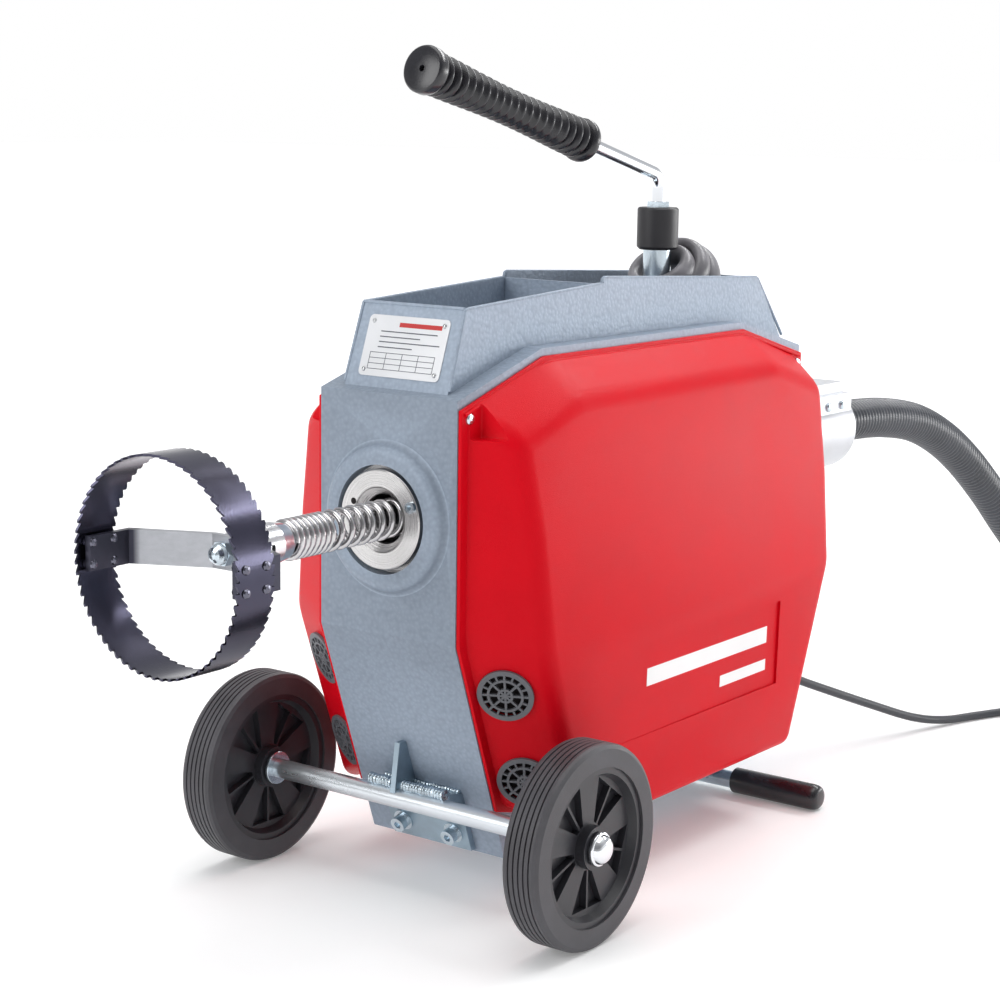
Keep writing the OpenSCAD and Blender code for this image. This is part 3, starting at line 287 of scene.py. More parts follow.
silver_plate = surface("label_silver", (0.66, 0.67, 0.69), 0.34, metal=0.3, grain=1500, grain_depth=0.05,
                       contrast=0.04)
label_ink = surface("label_ink", (0.10, 0.11, 0.13), 0.5, grain=1500, grain_depth=0.05)
label_red = surface("label_red", (0.50, 0.02, 0.02), 0.5, grain=1500, grain_depth=0.05)
white_ink = surface("white_ink", (0.88, 0.88, 0.88), 0.4, grain=1500, grain_depth=0.05, contrast=0.03)
# Flat near-black used as painted shade: discs set behind the vents and in a dimple of the bushing face.
painted_shade_black = surface("dark_recess", (0.012, 0.009, 0.010), 0.7, grain=500, grain_depth=0.1, specular=0.2)

paint = {
    grey_paint: ["housing", "tool_tray", "tray_insert"],
    silver_plate: ["rating_plate"],
    steel: ["plate_rivets", "spindle", "motor_rotor", "clutch_cone", "wedge_slide"],
    dark_rivet: ["cutter_rivets"],
    red_plastic: ["right_cover", "left_cover"],
    dark_plastic: ["right_vent_grilles", "left_vent_grilles", "motor_fan", "switch_knob"],
    brushed: ["spindle_bearings"],
    arm_steel: ["cutter_arm"],
    bushing_steel: ["guide_bushing"],
    zinc: ["lever_pivot_pin", "bracket_bolts", "rear_foot_bar", "rear_guide_tube", "cutter_nut",
           "bushing_screw", "pan_head_screws", "lever_base", "lever_nut"],
    bracket_zinc: ["axle_bracket"],
    axle_zinc: ["axle_tube"],
    chrome: ["lever_rod", "axle_retainers"],
    castgrey: ["bearing_plates", "spindle_pulley", "motor_pulley", "motor_casing", "pressure_ring",
               "lever_bracket"],
    bronze: ["clutch_jaw_1", "clutch_jaw_2", "clutch_jaw_3"],
    rubber: ["drive_belt", "lever_grip", "rear_foot_rubbers", "hose_cuff", "cable_gland", "power_plug"],
    sleeve_rubber: ["lever_sleeve"],
    soft_rubber: ["lever_gaiter"],
    tyre_rubber: ["left_tyre", "right_tyre"],
    rim_plastic: ["left_rim", "right_rim"],
    spring: ["drain_spiral"],
    bright: ["spiral_coupling"],
    blued: ["cutter_ring"],
    alu: ["hose_socket"],
    hose_rubber: ["guide_hose"],
    cable_rubber: ["power_cable", "cable_coil"],
}
for material, names in paint.items():
    for n in names:
        o = nodes[n]
        o.data.materials.clear()
        o.data.materials.append(material)
        for poly in o.data.polygons:
            poly.use_smooth = True
            poly.material_index = 0
        o.data.set_sharp_from_angle(angle=math.radians(32))


# ------------------------------------------------------------------ mesh helpers
def piece(name, verts, faces, material, body="machine", angle=35, merge=False):
    me = bpy.data.meshes.new(name)
    me.from_pydata([tuple(v) for v in verts], [], faces)
    bm = bmesh.new()
    bm.from_mesh(me)
    if merge:
        bmesh.ops.remove_doubles(bm, verts=bm.verts, dist=1e-6)
    bmesh.ops.recalc_face_normals(bm, faces=bm.faces)
    bm.to_mesh(me)
    bm.free()
    return place(name, me, material, body, angle)


def place(name, me, material, body="machine", angle=35):
    for p in me.polygons:
        p.use_smooth = True
    me.set_sharp_from_angle(angle=math.radians(angle))
    o = bpy.data.objects.new(name, me)
    bpy.context.scene.collection.objects.link(o)
    me.materials.clear()
    me.materials.append(material)
    if body:
        bpy.context.view_layer.update()
        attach(o, body)
    return o


def lathe(name, profile, at, axis, material, body="machine", seg=64, angle=35):
    """Turns a closed profile of (radius, height) in mm about an axis through a point in the row frame."""
    axis = Vector(axis).normalized()
    u = axis.orthogonal().normalized()
    w = axis.cross(u)
    verts, faces = [], []
    n = len(profile)
    for i in range(seg):
        a = 2 * math.pi * i / seg
        d = u * math.cos(a) + w * math.sin(a)
        for r, h in profile:
            verts.append(at + d * (r * MM) + axis * (h * MM))
    for i in range(seg):
        j = (i + 1) % seg
        for k in range(n):
            m = (k + 1) % n
            faces.append((i * n + k, j * n + k, j * n + m, i * n + m))
    return piece(name, verts, faces, material, body, angle, merge=True)


def frames(path):
    """Tangent, side and up at each point of a path, carried along without twist."""
    out = []
    side = None
    for i in range(len(path)):
        t = (path[min(i + 1, len(path) - 1)] - path[max(i - 1, 0)]).normalized()
        if side is None:
            side = t.cross(Vector((0, 0, 1)))
            if side.length < 0.1:
                side = t.cross(Vector((1, 0, 0)))
        side = (side - t * side.dot(t)).normalized()
        out.append((t, side, side.cross(t)))
    return out


def tube(name, path, radius, material, body="machine", sides=16, angle=50):
    """A closed tube along points in the row frame; radius in mm, a number or one per point."""
    verts, faces = [], []
    fr = frames(path)
    for i, (p, (t, s, u)) in enumerate(zip(path, fr)):
        r = (radius[i] if isinstance(radius, (list, tuple)) else radius) * MM
        for k in range(sides):
            a = 2 * math.pi * k / sides
            verts.append(p + s * (r * math.cos(a)) + u * (r * math.sin(a)))
    for i in range(len(path) - 1):
        for k in range(sides):
            m = (k + 1) % sides
            faces.append((i * sides + k, (i + 1) * sides + k, (i + 1) * sides + m, i * sides + m))
    faces.append(tuple(range(sides - 1, -1, -1)))
    last = (len(path) - 1) * sides
    faces.append(tuple(last + k for k in range(sides)))
    return piece(name, verts, faces, material, body, angle)


def prism_x(name, outline, x0, x1, material, body="machine", bevel=0.0, angle=35):
    """A (y, z) outline in mm extruded from x0 to x1, its edges rounded a little."""
    n = len(outline)
    verts = [P(x0, y, z) for y, z in outline] + [P(x1, y, z) for y, z in outline]
    faces = [tuple(range(n)), tuple(range(2 * n - 1, n - 1, -1))]
    faces += [(i, (i + 1) % n, n + (i + 1) % n, n + i) for i in range(n)]
    o = piece(name, verts, faces, material, None, angle)
    if bevel:
        soften(o, bevel)
    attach(o, body)
    return o


def soften(o, width, segments=2, limit=30):
    b = o.modifiers.new("bevel", "BEVEL")
    b.width = width * MM
    b.segments = segments
    b.limit_method = "ANGLE"
    b.angle_limit = math.radians(limit)
    b.use_clamp_overlap = True
    return b


def catmull(points, steps):
    out = []
    n = len(points)
    for i in range(n - 1):
        a, b = points[max(i - 1, 0)], points[i]
        c, d = points[i + 1], points[min(i + 2, n - 1)]
        for s in range(steps):
            t = s / steps
            out.append(0.5 * (2 * b + (c - a) * t + (2 * a - 5 * b + 4 * c - d) * t * t
                              + (3 * b - a - 3 * c + d) * t ** 3))
    out.append(points[-1].copy())
    return out


def resample(path, step):
    """Points every step metres along a path."""
    out = [path[0].copy()]
    left = step
    for a, b in zip(path, path[1:]):
        seg = (b - a).length
        pos = left
        while pos <= seg:
            out.append(a.lerp(b, pos / seg))
            pos += step
        left = pos - seg
    if (out[-1] - path[-1]).length > step * 0.3:
        out.append(path[-1].copy())
    return out


# ------------------------------------------------------------------ hose and cable
hose_route = [P(*p) for p in [
    (0, 665, 314), (0, 700, 314), (0, 760, 313), (0, 830, 308), (0, 906, 295), (0, 975, 271),
    (0, 1040, 238), (2, 1105, 194), (6, 1165, 145), (14, 1220, 99), (28, 1275, 60),
    (50, 1330, 34), (80, 1380, 24), (118, 1420, 21.8), (162, 1450, 21.8), (210, 1470, 21.8),
    (262, 1478, 21.8)]]
hose_line = resample(catmull(hose_route, 24), 0.0011)
hose_radii = []
for i in range(len(hose_line)):
    s = i * 1.1
    wave = 0.5 + 0.5 * math.cos(2 * math.pi * s / 6.6)
    hose_radii.append(20.2 + 1.2 * wave ** 0.7)
hose = tube("hose", hose_line, hose_radii, hose_rubber, sides=32)
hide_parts("guide_hose")

cable_route = [P(*p) for p in [
    (45, 510, 105), (46, 523, 100), (51, 541, 93), (58, 560, 82), (70, 600, 65), (87, 662, 40), (104, 722,
                                                                                                 17),
    (118, 768, 6.5), (134, 812, 4.4), (156, 856, 4.4), (184, 898, 4.4), (214, 934, 4.4)]]
coil_c = P(259, 896.5, 0)
coil_pts = []
START_ANGLE = 140.2
LAYER_TURNS = 4.0
TOTAL_TURNS = 8.35
TURN_POINTS = 36
COIL_OUTER, COIL_INNER, TURN_PITCH = 58.6, 25, 8.5
LOW_LAYER, HIGH_LAYER = 4.4, 12.9
# The lower layer spirals in, the cable climbs at the middle, and the upper layer spirals out
for i in range(int(TOTAL_TURNS * TURN_POINTS) + 1):
    turn = i / TURN_POINTS
    a = math.radians(START_ANGLE - 360 * turn)
    if turn < LAYER_TURNS:
        r, z = COIL_OUTER - TURN_PITCH * turn, LOW_LAYER
        if turn > LAYER_TURNS - 0.5:
            z = LOW_LAYER + 8.4 * (turn - LAYER_TURNS + 0.5)
    else:
        r = COIL_OUTER - TURN_PITCH * LAYER_TURNS + TURN_PITCH * min(turn - LAYER_TURNS, 3.9)
        z = HIGH_LAYER
        if turn < LAYER_TURNS + 0.5:
            z = 8.6 + 4.3 * (turn - LAYER_TURNS) / 0.5
    r = max(r, COIL_INNER)
    coil_pts.append(coil_c + Vector((r * MM * math.cos(a), r * MM * math.sin(a), z * MM)))
tail_dir = (coil_pts[-1] - coil_pts[-2]).normalized()
plug_at = P(259 + 64, 896.5 - 13, 19)
tail = [coil_pts[-1] + tail_dir * 0.008, plug_at - Vector((0.242, -0.970, 0)) * 0.004 - Vector((0, 0, 0.001)),
        plug_at + Vector((0.242, -0.970, 0)) * 0.006]
lead = catmull(cable_route, 8)
cable_line = lead[:-1] + coil_pts + catmull([coil_pts[-1]] + tail, 4)[1:]
curve = bpy.data.curves.new("mains_cable", "CURVE")
curve.dimensions = "3D"
curve.bevel_depth = 0.0042
curve.bevel_resolution = 4
curve.use_fill_caps = True
sp = curve.splines.new("POLY")
sp.points.add(len(cable_line) - 1)
for q, v in zip(sp.points, cable_line):
    q.co = (*v, 1)
sp.use_smooth = True
cable = bpy.data.objects.new("mains_cable", curve)
bpy.context.scene.collection.objects.link(cable)
curve.materials.append(cable_rubber)
bpy.context.view_layer.update()
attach(cable, "machine")
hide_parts("power_cable", "cable_coil")


# ------------------------------------------------------------------ covers
def evaluated_mesh(o):
    dg = bpy.context.evaluated_depsgraph_get()
    return bpy.data.meshes.new_from_object(o.evaluated_get(dg))


def hull_mesh(points, bevel, segments, sharp_x):
    """Convex body with its strong edges rounded, except those on the plane x = sharp_x."""
    bm = bmesh.new()
    for p in points:
        bm.verts.new(p)
    bmesh.ops.convex_hull(bm, input=bm.verts)
    bmesh.ops.dissolve_limit(bm, angle_limit=math.radians(0.8), verts=bm.verts, edges=bm.edges)
    bmesh.ops.recalc_face_normals(bm, faces=bm.faces)
    edges = []
    for e in bm.edges:
        if len(e.link_faces) != 2:
            continue
        if all(abs(v.co.x - sharp_x) < 1e-5 for v in e.verts):
            continue
        if e.calc_face_angle(0) > math.radians(11):
            edges.append(e)
    bmesh.ops.bevel(bm, geom=edges, offset=bevel * MM, offset_type="OFFSET", segments=segments, profile=0.5,
                    affect="EDGES", clamp_overlap=True)
    me = bpy.data.meshes.new("hull")
    bm.to_mesh(me)
    bm.free()
    return me


def cut(o, cutters):
    """Cuts closed meshes out of o and returns the finished mesh."""
    for c in cutters:
        m = o.modifiers.new("cut", "BOOLEAN")
        m.object = c
        m.solver = "EXACT"
    bpy.context.view_layer.update()
    me = evaluated_mesh(o)
    for c in cutters + [o]:
        bpy.data.objects.remove(c, do_unlink=True)
    return me


def loose(me):
    o = bpy.data.objects.new("loose", me)
    bpy.context.scene.collection.objects.link(o)
    return o


def solid_of(corners, faces):
    me = bpy.data.meshes.new("solid")
    me.from_pydata([tuple(c) for c in corners], [], faces)
    bm = bmesh.new()
    bm.from_mesh(me)
    bmesh.ops.recalc_face_normals(bm, faces=bm.faces)
    bm.to_mesh(me)
    bm.free()
    return loose(me)


BOX_FACES = [(0, 1, 3, 2), (4, 6, 7, 5), (0, 4, 5, 1), (2, 3, 7, 6), (0, 2, 6, 4), (1, 5, 7, 3)]


def box_solid(x0, x1, y0, y1, z0, z1, round_mm=0):
    c = [P(x, y, z) for x in (x0, x1) for y in (y0, y1) for z in (z0, z1)]
    o = solid_of(c, BOX_FACES)
    if round_mm:
        soften(o, round_mm, 3)
        me = evaluated_mesh(o)
        bpy.data.objects.remove(o, do_unlink=True)
        o = loose(me)
    return o


SLOPE = 67.0 / 186.0
TAN = math.tan(math.radians(25))


def slope_y(z):
    return 0 if z > 221 else (221 - z) * SLOPE


def panel_y(x, z):
    return slope_y(z) + 9 + (x - 71) * TAN


rows = [(109.8, 381), (122, 305), (130, 221), (128, 150), (126, 57)]
half = [P(x, panel_y(x, z), z) for x, z in rows]
half += [P(71, 107, 434), P(108, 107, 406), P(71, 9, 404.7), P(71, 9, 221), P(71, 61, 77)]
both = half + [Vector((p.x, 2 * (0.260 + FRONT_Y) - p.y, p.z)) for p in half]
shell = loose(hull_mesh(both, 12, 5, 0.071))
cutters = []
for y0, y1 in ((-30, 24), (496, 560)):
    cutters.append(box_solid(72.5, 150, y0, y1, 381, 460, 2.5))
# Shallow band on the outer face: deepest at its rear end
BAND_DEPTHS = ((96, 0.2), (393, 2.2))
band = [P(130 + (z - 221) * 0.0219 - d, y, z) for (y, d) in BAND_DEPTHS for z in (124, 200)]
band += [P(150, y, z) for y in (96, 393) for z in (124, 200)]
cutters.append(solid_of(band, BOX_FACES))
VENT_X = 92.5
VENT_HEIGHTS = (182, 106)
vent_out = Vector((TAN, -1, -SLOPE)).normalized()
vent_in = vent_out.orthogonal().normalized()


def vent_centre(z, off):
    return P(VENT_X, panel_y(VENT_X, z), z) + vent_out * (off * MM)


def round_solid(centre, axis, radius, depth, sides=48):
    """A closed cylinder from centre, going depth mm against the axis and 6 mm along it."""
    u = axis.orthogonal().normalized()
    w = axis.cross(u)
    rim = [u * math.cos(2 * math.pi * k / sides) + w * math.sin(2 * math.pi * k / sides) for k in range(sides)]
    low = [centre + d * (radius * MM) - axis * (depth * MM) for d in rim]
    high = [centre + d * (radius * MM) + axis * (6 * MM) for d in rim]
    sides_of = [(k, (k + 1) % sides, sides + (k + 1) % sides, sides + k) for k in range(sides)]
    return solid_of(low + high, [tuple(range(sides)), tuple(range(2 * sides - 1, sides - 1, -1))] + sides_of)


for z in VENT_HEIGHTS:
    cutters.append(round_solid(vent_centre(z, 0), vent_out, 20.6, 5))
cover_mesh = cut(shell, cutters)
# Dark discs set behind each vent opening: painted shade for the inside of the cover.
for i, z in enumerate(VENT_HEIGHTS):
    for side, s in (("right", 1), ("left", -1)):
        c = vent_centre(z, -4.9)
        n = Vector((s * vent_out.x, vent_out.y, vent_out.z))
        lathe(f"{side}_vent_backing_{i + 1}", [(0, 0), (20.4, 0), (20.4, 0.5), (0, 0.5)],
              Vector((s * c.x, c.y, c.z)), n, painted_shade_black, seg=48)
right_shell = place("right_cover_shell", cover_mesh, red_plastic, None, 28)
left_mesh = cover_mesh.copy()
bm = bmesh.new()
bm.from_mesh(left_mesh)
for v in bm.verts:
    v.co.x = -v.co.x
bmesh.ops.reverse_faces(bm, faces=bm.faces)
bm.to_mesh(left_mesh)
bm.free()
left_shell = place("left_cover_shell", left_mesh, red_plastic, None, 28)
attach(right_shell, "machine")
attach(left_shell, "machine")
flange = [(1, 221), (1 + slope_y(78), 78), (120, 60), (400, 60), (519 - slope_y(78), 78), (519, 221), (519,
                                                                                                       408),
          (413, 437), (107, 437), (1, 404)]
prism_x("right_cover_flange", flange, 68, 71.2, red_plastic, bevel=0.6)
prism_x("left_cover_flange", flange, -71.2, -68, red_plastic, bevel=0.6)
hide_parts("right_cover")
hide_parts("left_cover")

# ------------------------------------------------------------------ spiral
pitch_tight, pitch_loose = 5.7, 11.8
y = -118.4
angle = 0.0
helix = []
while y < 470:
    pitch = pitch_tight if y < -77 else pitch_loose
    helix.append(P(13.4 * math.cos(angle), y, SPINDLE_Z + 13.4 * math.sin(angle)))
    angle += 2 * math.pi / 28
    y += pitch / 28
spiral = tube("spiral_wire", helix, 2.6, spring, "spiral_and_cutter", sides=10)
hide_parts("drain_spiral")

# ------------------------------------------------------------------ front plate details
mouth = P(0, 0, SPINDLE_Z)
FRONT = Vector((0, -1, 0))
lathe("mouth_collar", [(43.1, -2), (43.1, 8.6), (43.9, 9.3), (50, 9.5), (53.4, 8.8), (56.2, 6.8), (57.4, 4.0),
                       (58.4, 1.6), (59.8, 0.5), (61.8, 0.1), (61.8, -0.6)], mouth, FRONT, grey_paint, seg=96,
      angle=40)
# A small dark disc on the bushing face: painted shade of a dimple.
lathe("bushing_slot", [(0, -0.2), (2.6, -0.2), (2.6, 0.15), (2.2, 0.25), (0, 0.25)],
      P(-26, -9.5, SPINDLE_Z + 12), FRONT, painted_shade_black, seg=24)

# Marks on the rating plate: plain bars and a table, no lettering
plate = nodes["rating_plate"]
LEAN = 22.4 / 63.5
plate_up = Vector((0, LEAN, 1)).normalized()
plate_out = Vector((0, -1, LEAN)).normalized()
plate_lo, plate_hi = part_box("rating_plate")
plate_c = (Vector(plate_lo) + Vector(plate_hi)) / 2
plate_d = max(v.co.dot(plate_out) for v in plate.data.vertices)
plate_c += plate_out * (plate_d - plate_c.dot(plate_out))

BAR_FACES = [(0, 1, 2, 3), (7, 6, 5, 4)] + [(i, (i + 1) % 4, 4 + (i + 1) % 4, 4 + i) for i in range(4)]


def mark(name, u, v, w, h, material):
    """A thin printed bar centred at u, v mm from the middle of the rating plate."""
    c = plate_c + Vector((u * MM, 0, 0)) + plate_up * (v * MM)
    verts = []
    for off in (-0.05, 0.12):
        for a, b in ((-1, -1), (1, -1), (1, 1), (-1, 1)):
            verts.append(c + Vector((a * w / 2 * MM, 0,
                                     0)) + plate_up * (b * h / 2 * MM) + plate_out * (off * MM))
    return piece(name, verts, BAR_FACES, material)


mark("plate_mark_head", 12, 17.5, 42, 3.6, label_red)
for i, (u, w) in enumerate(((2, 56), (-6, 40), (4, 60), (-9, 34))):
    mark(f"plate_mark_line_{i + 1}", u, 11.5 - i * 4.2, w, 0.9, label_ink)
for i in range(4):
    mark(f"plate_mark_rule_{i + 1}", 0, -5.6 - i * 4.4, 64, 0.5, label_ink)
for i in range(5):
    mark(f"plate_mark_column_{i + 1}", -32 + 16 * i, -12.2, 0.5, 13.7, label_ink)


# Plain white stripes in the recess of each cover, and a bead along the flange
def recess_x(y, z):
    return 130 + (z - 221) * 0.0219 - 0.2 - 2.0 * (y - 96) / 297


def stripe(name, side, y0, y1, z0, z1):
    """A thin white bar on the band of one cover."""
    verts = []
    for off in (-0.3, 0.25):
        for y, z in ((y0, z0), (y1, z0), (y1, z1), (y0, z1)):
            verts.append(P(side * (recess_x(y, z) + off), y, z))
    return piece(name, verts, BAR_FACES, white_ink)


for side, s in (("right", 1), ("left", -1)):
    stripe(f"{side}_stripe_long", s, 178, 374, 165, 180)
    stripe(f"{side}_stripe_short", s, 296, 374, 140, 150)
    edge_path = resample([P(s * 71.6, y, z) for y, z in ((4.5, 400.5), (108.3, 432), (411.7, 432.6),
                                                        (515, 405.5))], 0.006)
    tube(f"{side}_cover_bead", edge_path, 1.5, red_plastic, sides=12)

# Rolled edges of the tool tray
for side, s in (("right", 1), ("left", -1)):
    rim = [P(s * 52.2, 10.5, 416), P(s * 50.6, 31.2, 477.2), P(s * 50.4, 214.5, 487.2), P(s * 50.4, 215.5,
                                                                                          492.2),
           P(s * 50.4, 467.6, 479.8), P(s * 51.2, 515, 424)]
    tube(f"{side}_tray_bead", resample(rim, 0.004), 1.35, grey_paint, sides=10)
tube("front_tray_bead", resample([P(-50.6, 31.6, 477.4), P(50.6, 31.6, 477.4)], 0.004), 1.35, grey_paint,
     sides=10)

# ------------------------------------------------------------------ lever
lever_at = P(0, 376, 572)
grip_axis = Vector((0, -math.cos(math.radians(14.2)), math.sin(math.radians(14.2))))
GRIP_START, GRIP_LEN, FINS = 122, 226, 20


def fin_top(h):
    """Outer radius of the grip's fins: a waist a little past the middle."""
    t = (h - 12) / (GRIP_LEN - 26)
    return 17.4 - 2.4 * math.sin(math.pi * min(max(t, 0), 1)) ** 1.5


grip_profile = [(6.2, 0), (15.5, 0), (17.6, 0.8), (18.5, 2.6), (18.6, 6.2), (17.8, 8.4), (15.6, 9.6), (12.6,
                                                                                                       10.4)]
fin_pitch = (GRIP_LEN - 26) / FINS
for i in range(FINS):
    h = 12 + fin_pitch * i
    top = fin_top(h + fin_pitch / 2)
    grip_profile += [(11.6, h + 1.6), (11.9, h + 3.0), (top - 1.2, h + 4.1), (top - 0.3, h + 4.6), (top,
                                                                                                    h + 5.4),
                     (top - 0.1, h + 6.6), (top - 0.9, h + 7.5), (12.4, h + 8.9)]
grip_profile += [(12.6, GRIP_LEN - 13), (15.4, GRIP_LEN - 12.4), (18.2, GRIP_LEN - 11), (18.9,
                                                                                         GRIP_LEN - 8.6),
                 (18.9, GRIP_LEN - 2.6), (18.2, GRIP_LEN - 0.8), (16.8, GRIP_LEN), (2.6, GRIP_LEN),
                 (2.4, GRIP_LEN - 0.6), (2.4, GRIP_LEN - 5), (0, GRIP_LEN - 5), (0, 60), (6.2, 60)]
grip = lathe("ribbed_grip", grip_profile, lever_at + grip_axis * (GRIP_START * MM), grip_axis, rubber,
             "lever",
             seg=80, angle=50)
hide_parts("lever_grip")

BEND_R = 14
bend_turn = math.radians(90 - 14.2)
reach = BEND_R * math.tan(bend_turn / 2)
rod_path = [P(0, 376, 544.2), P(0, 376, 552)]
for i in range(17):
    a = bend_turn * i / 16
    rod_path.append(P(0, 376 - BEND_R + BEND_R * math.cos(a), 572 - reach + BEND_R * math.sin(a)))
rod_path += [lever_at + grip_axis * (k * MM) for k in (30, 60, 90, 120, 150, 180)]
rod = tube("lever_rod_bent", rod_path, 6.0, chrome, "lever", sides=40)
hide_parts("lever_rod")

FOLDS = ((384, 486, 34, 24, 26), (402, 481, 49, 28, 34), (423, 470, 62, 28, 36))


def fold_ring(name, y, z, tilt, half_wide, half_long):
    """One rounded fold of the bellows, an oval ring tilted towards the rear."""
    t = math.radians(tilt)
    long_way = Vector((0, math.cos(t), math.sin(t)))
    along = Vector((0, -math.sin(t), math.cos(t)))
    verts, faces = [], []
    seg, sec = 72, 20
    for i in range(seg):
        a = 2 * math.pi * i / seg
        out = Vector((math.cos(a), 0, 0)) + long_way * math.sin(a)
        middle = P(0, y, z) + Vector((half_wide * MM * math.cos(a), 0,
                                      0)) + long_way * (half_long * MM * math.sin(a))
        swell = 1 + 0.05 * math.sin(3 * a + y)
        for k in range(sec):
            b = 2 * math.pi * k / sec
            verts.append(middle + out * (6.6 * swell * MM * math.cos(b)) + along * (11.2 * MM * math.sin(b)))
    for i in range(seg):
        j = (i + 1) % seg
        for k in range(sec):
            m = (k + 1) % sec
            faces.append((i * sec + k, j * sec + k, j * sec + m, i * sec + m))
    return piece(name, verts, faces, soft_rubber, angle=60)


for i, fold in enumerate(FOLDS):
    ring = fold_ring(f"gaiter_fold_{i + 1}", *fold)
    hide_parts("lever_gaiter")

# ------------------------------------------------------------------ wheels and axle
RIGHT = Vector((1, 0, 0))
dome = [(7.0, 0.5), (12.9, 0.5), (13.3, 1.2), (13.3, 3.0), (12.7, 3.7), (11.5, 3.9), (11.2, 4.6), (10.7, 6.2),
        (9.5, 7.8), (7.6, 9.0), (5.2, 9.7), (2.6, 10.0), (0, 10.0), (0, 4.4), (7.0, 4.4)]
for side, s in (("right", 1), ("left", -1)):
    cap = lathe(f"{side}_hub_cap", dome, P(s * 186, 26, 80), RIGHT * s, chrome, seg=64, angle=50)
    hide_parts("axle_retainers")
for side, x in (("left", -141.6), ("right", 150.6)):
    lathe(f"{side}_wheel_collar", [(8.1, 0), (13.6, 0), (14, 0.5), (14, 2.5), (13.6, 3), (8.1, 3)], P(x, 26,
                                                                                                      80),
          RIGHT, zinc, seg=48)
lathe("left_wheel_spacer", [(8.1, 0), (11.8, 0), (12, 0.4), (12, 11), (11.8, 11.4), (8.1, 11.4)], P(-186,
                                                                                                    26, 80),
      RIGHT, zinc, seg=48)

# Weld runs where the bracket carries the axle, each a row of overlapping ripples
random.seed(7)


def weld(name, a, b, radius):
    """A bead from a to b whose ripples vary a little."""
    path = resample([a, b], 0.0006)
    sizes = [radius * (0.86 + 0.2 * abs(math.sin(math.pi * i * 0.6 / 3.1)) + 0.05 * random.random())
             for i in range(len(path))]
    sizes[0] = sizes[-1] = radius * 0.5
    wander = [Vector((0, 0.25 * MM * math.sin(i * 0.31),
                      0.25 * MM * math.cos(i * 0.23))) for i in range(len(path))]
    return tube(name, [p + w for p, w in zip(path, wander)], sizes, weld_metal, sides=14, angle=60)


weld("axle_weld_right", P(-5, 27, 91.4), P(39.6, 27, 91.4), 4.4)
weld("axle_weld_left", P(-39.6, 27, 91.4), P(-15, 27, 91.4), 4.4)
weld("plate_weld", P(-39, 46.2, 89.5), P(39, 46.2, 89.5), 2.4)
weld("gusset_weld_1", P(-6.8, 26, 88.5), P(-6.8, 47, 86), 2.2)
weld("gusset_weld_2", P(-13.2, 26, 88.5), P(-13.2, 47, 86), 2.2)

# Rounded rubber ends of the rear foot bar
for side, s in (("right", 1), ("left", -1)):
    foot = lathe(f"{side}_foot_rubber", [(8.1, 0), (11.4, 0), (11.9, 0.7), (11.9, 82), (11.5, 85.2), (10.4,
                                                                                                      87.8),
                                         (8.6, 89.4), (6, 90), (0, 90), (0, 84.5), (8.1, 84.5)],
                 P(s * 66, 433, 11.9), RIGHT * s, rubber, seg=48, angle=50)
    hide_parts("rear_foot_rubbers")

# ------------------------------------------------------------------ stage and lights
floor_mat = surface("pale_floor", (0.90, 0.90, 0.90), 0.7, grain=300, grain_depth=0.01, contrast=0.01,
                    specular=0.1)
floor_shader = floor_mat.node_tree.nodes["Principled BSDF"]
floor_shader.inputs["Emission Color"].default_value = (1, 1, 1, 1)
floor_tree = floor_mat.node_tree
place_on_floor = floor_tree.nodes.new("ShaderNodeTexCoord")
from_middle = floor_tree.nodes.new("ShaderNodeVectorMath")
from_middle.operation = "LENGTH"
floor_tree.links.new(place_on_floor.outputs["Object"], from_middle.inputs[0])
glow = floor_tree.nodes.new("ShaderNodeMapRange")
floor_tree.links.new(from_middle.outputs["Value"], glow.inputs["Value"])
glow.inputs["From Min"].default_value = 0.9
glow.inputs["From Max"].default_value = 4.0
glow.inputs["To Min"].default_value = 0.16
glow.inputs["To Max"].default_value = 0.60
floor_tree.links.new(glow.outputs["Result"], floor_shader.inputs["Emission Strength"])
me = bpy.data.meshes.new("floor")
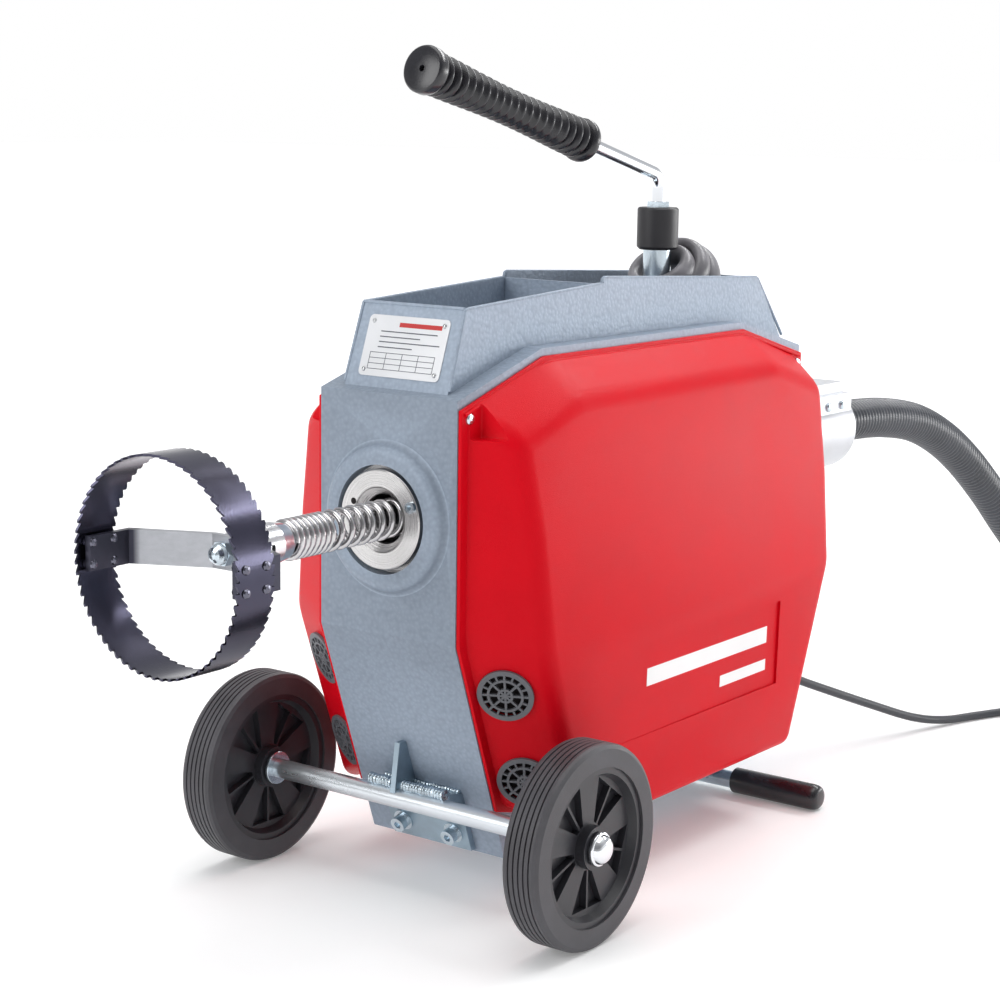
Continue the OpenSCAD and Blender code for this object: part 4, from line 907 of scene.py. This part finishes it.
me.from_pydata([(-30, -30, 0), (30, -30, 0), (30, 30, 0), (-30, 30, 0)], [], [(0, 1, 2, 3)])
me.materials.append(floor_mat)
floor = bpy.data.objects.new("floor", me)
bpy.context.scene.collection.objects.link(floor)

world = bpy.data.worlds.new("studio")
bpy.context.scene.world = world
world.use_nodes = True
wt = world.node_tree
bg = wt.nodes["Background"]
tc = wt.nodes.new("ShaderNodeTexCoord")
sep = wt.nodes.new("ShaderNodeSeparateXYZ")
wt.links.new(tc.outputs["Generated"], sep.inputs["Vector"])
height = ramp(wt, sep.outputs["Z"], [(0.0, (1, 1, 1)), (0.14, (1, 1, 1)), (0.32, (0.55, 0.56, 0.58)),
                                     (0.6, (0.62, 0.63, 0.65)), (0.85, (1, 1, 1))])
depth = wt.nodes.new("ShaderNodeMapRange")
wt.links.new(sep.outputs["Y"], depth.inputs["Value"])
depth.inputs["From Min"].default_value = -0.5
depth.inputs["From Max"].default_value = 0.35
depth.inputs["To Min"].default_value = 0.42
depth.inputs["To Max"].default_value = 1.0
studio = wt.nodes.new("ShaderNodeVectorMath")
studio.operation = "SCALE"
wt.links.new(height, studio.inputs[0])
wt.links.new(depth.outputs["Result"], studio.inputs["Scale"])
wt.links.new(studio.outputs[0], bg.inputs["Color"])
bg.inputs["Strength"].default_value = 1.0


def area(name, pos, target, size, watts):
    """A white rectangular light aimed at a point."""
    d = bpy.data.lights.new(name, "AREA")
    d.shape = "RECTANGLE"
    d.size, d.size_y = size
    d.energy = watts
    o = bpy.data.objects.new(name, d)
    bpy.context.scene.collection.objects.link(o)
    o.location = pos
    o.rotation_euler = (Vector(target) - Vector(pos)).to_track_quat("-Z", "Y").to_euler()
    return o


area("back_right", (2.0, 3.0, 0.5), (0.1, 0, 0.3), (2.6, 0.6), 30)
area("back_top", (0.2, 2.1, 2.2), (0, 0, 0.4), (2.6, 0.3), 34)
area("front_fill", (-0.9, -2.6, 1.5), (0, 0, 0.25), (1.6, 1.6), 33)
area("top", (0.0, -0.2, 2.7), (0, 0, 0.2), (2.2, 2.0), 28)
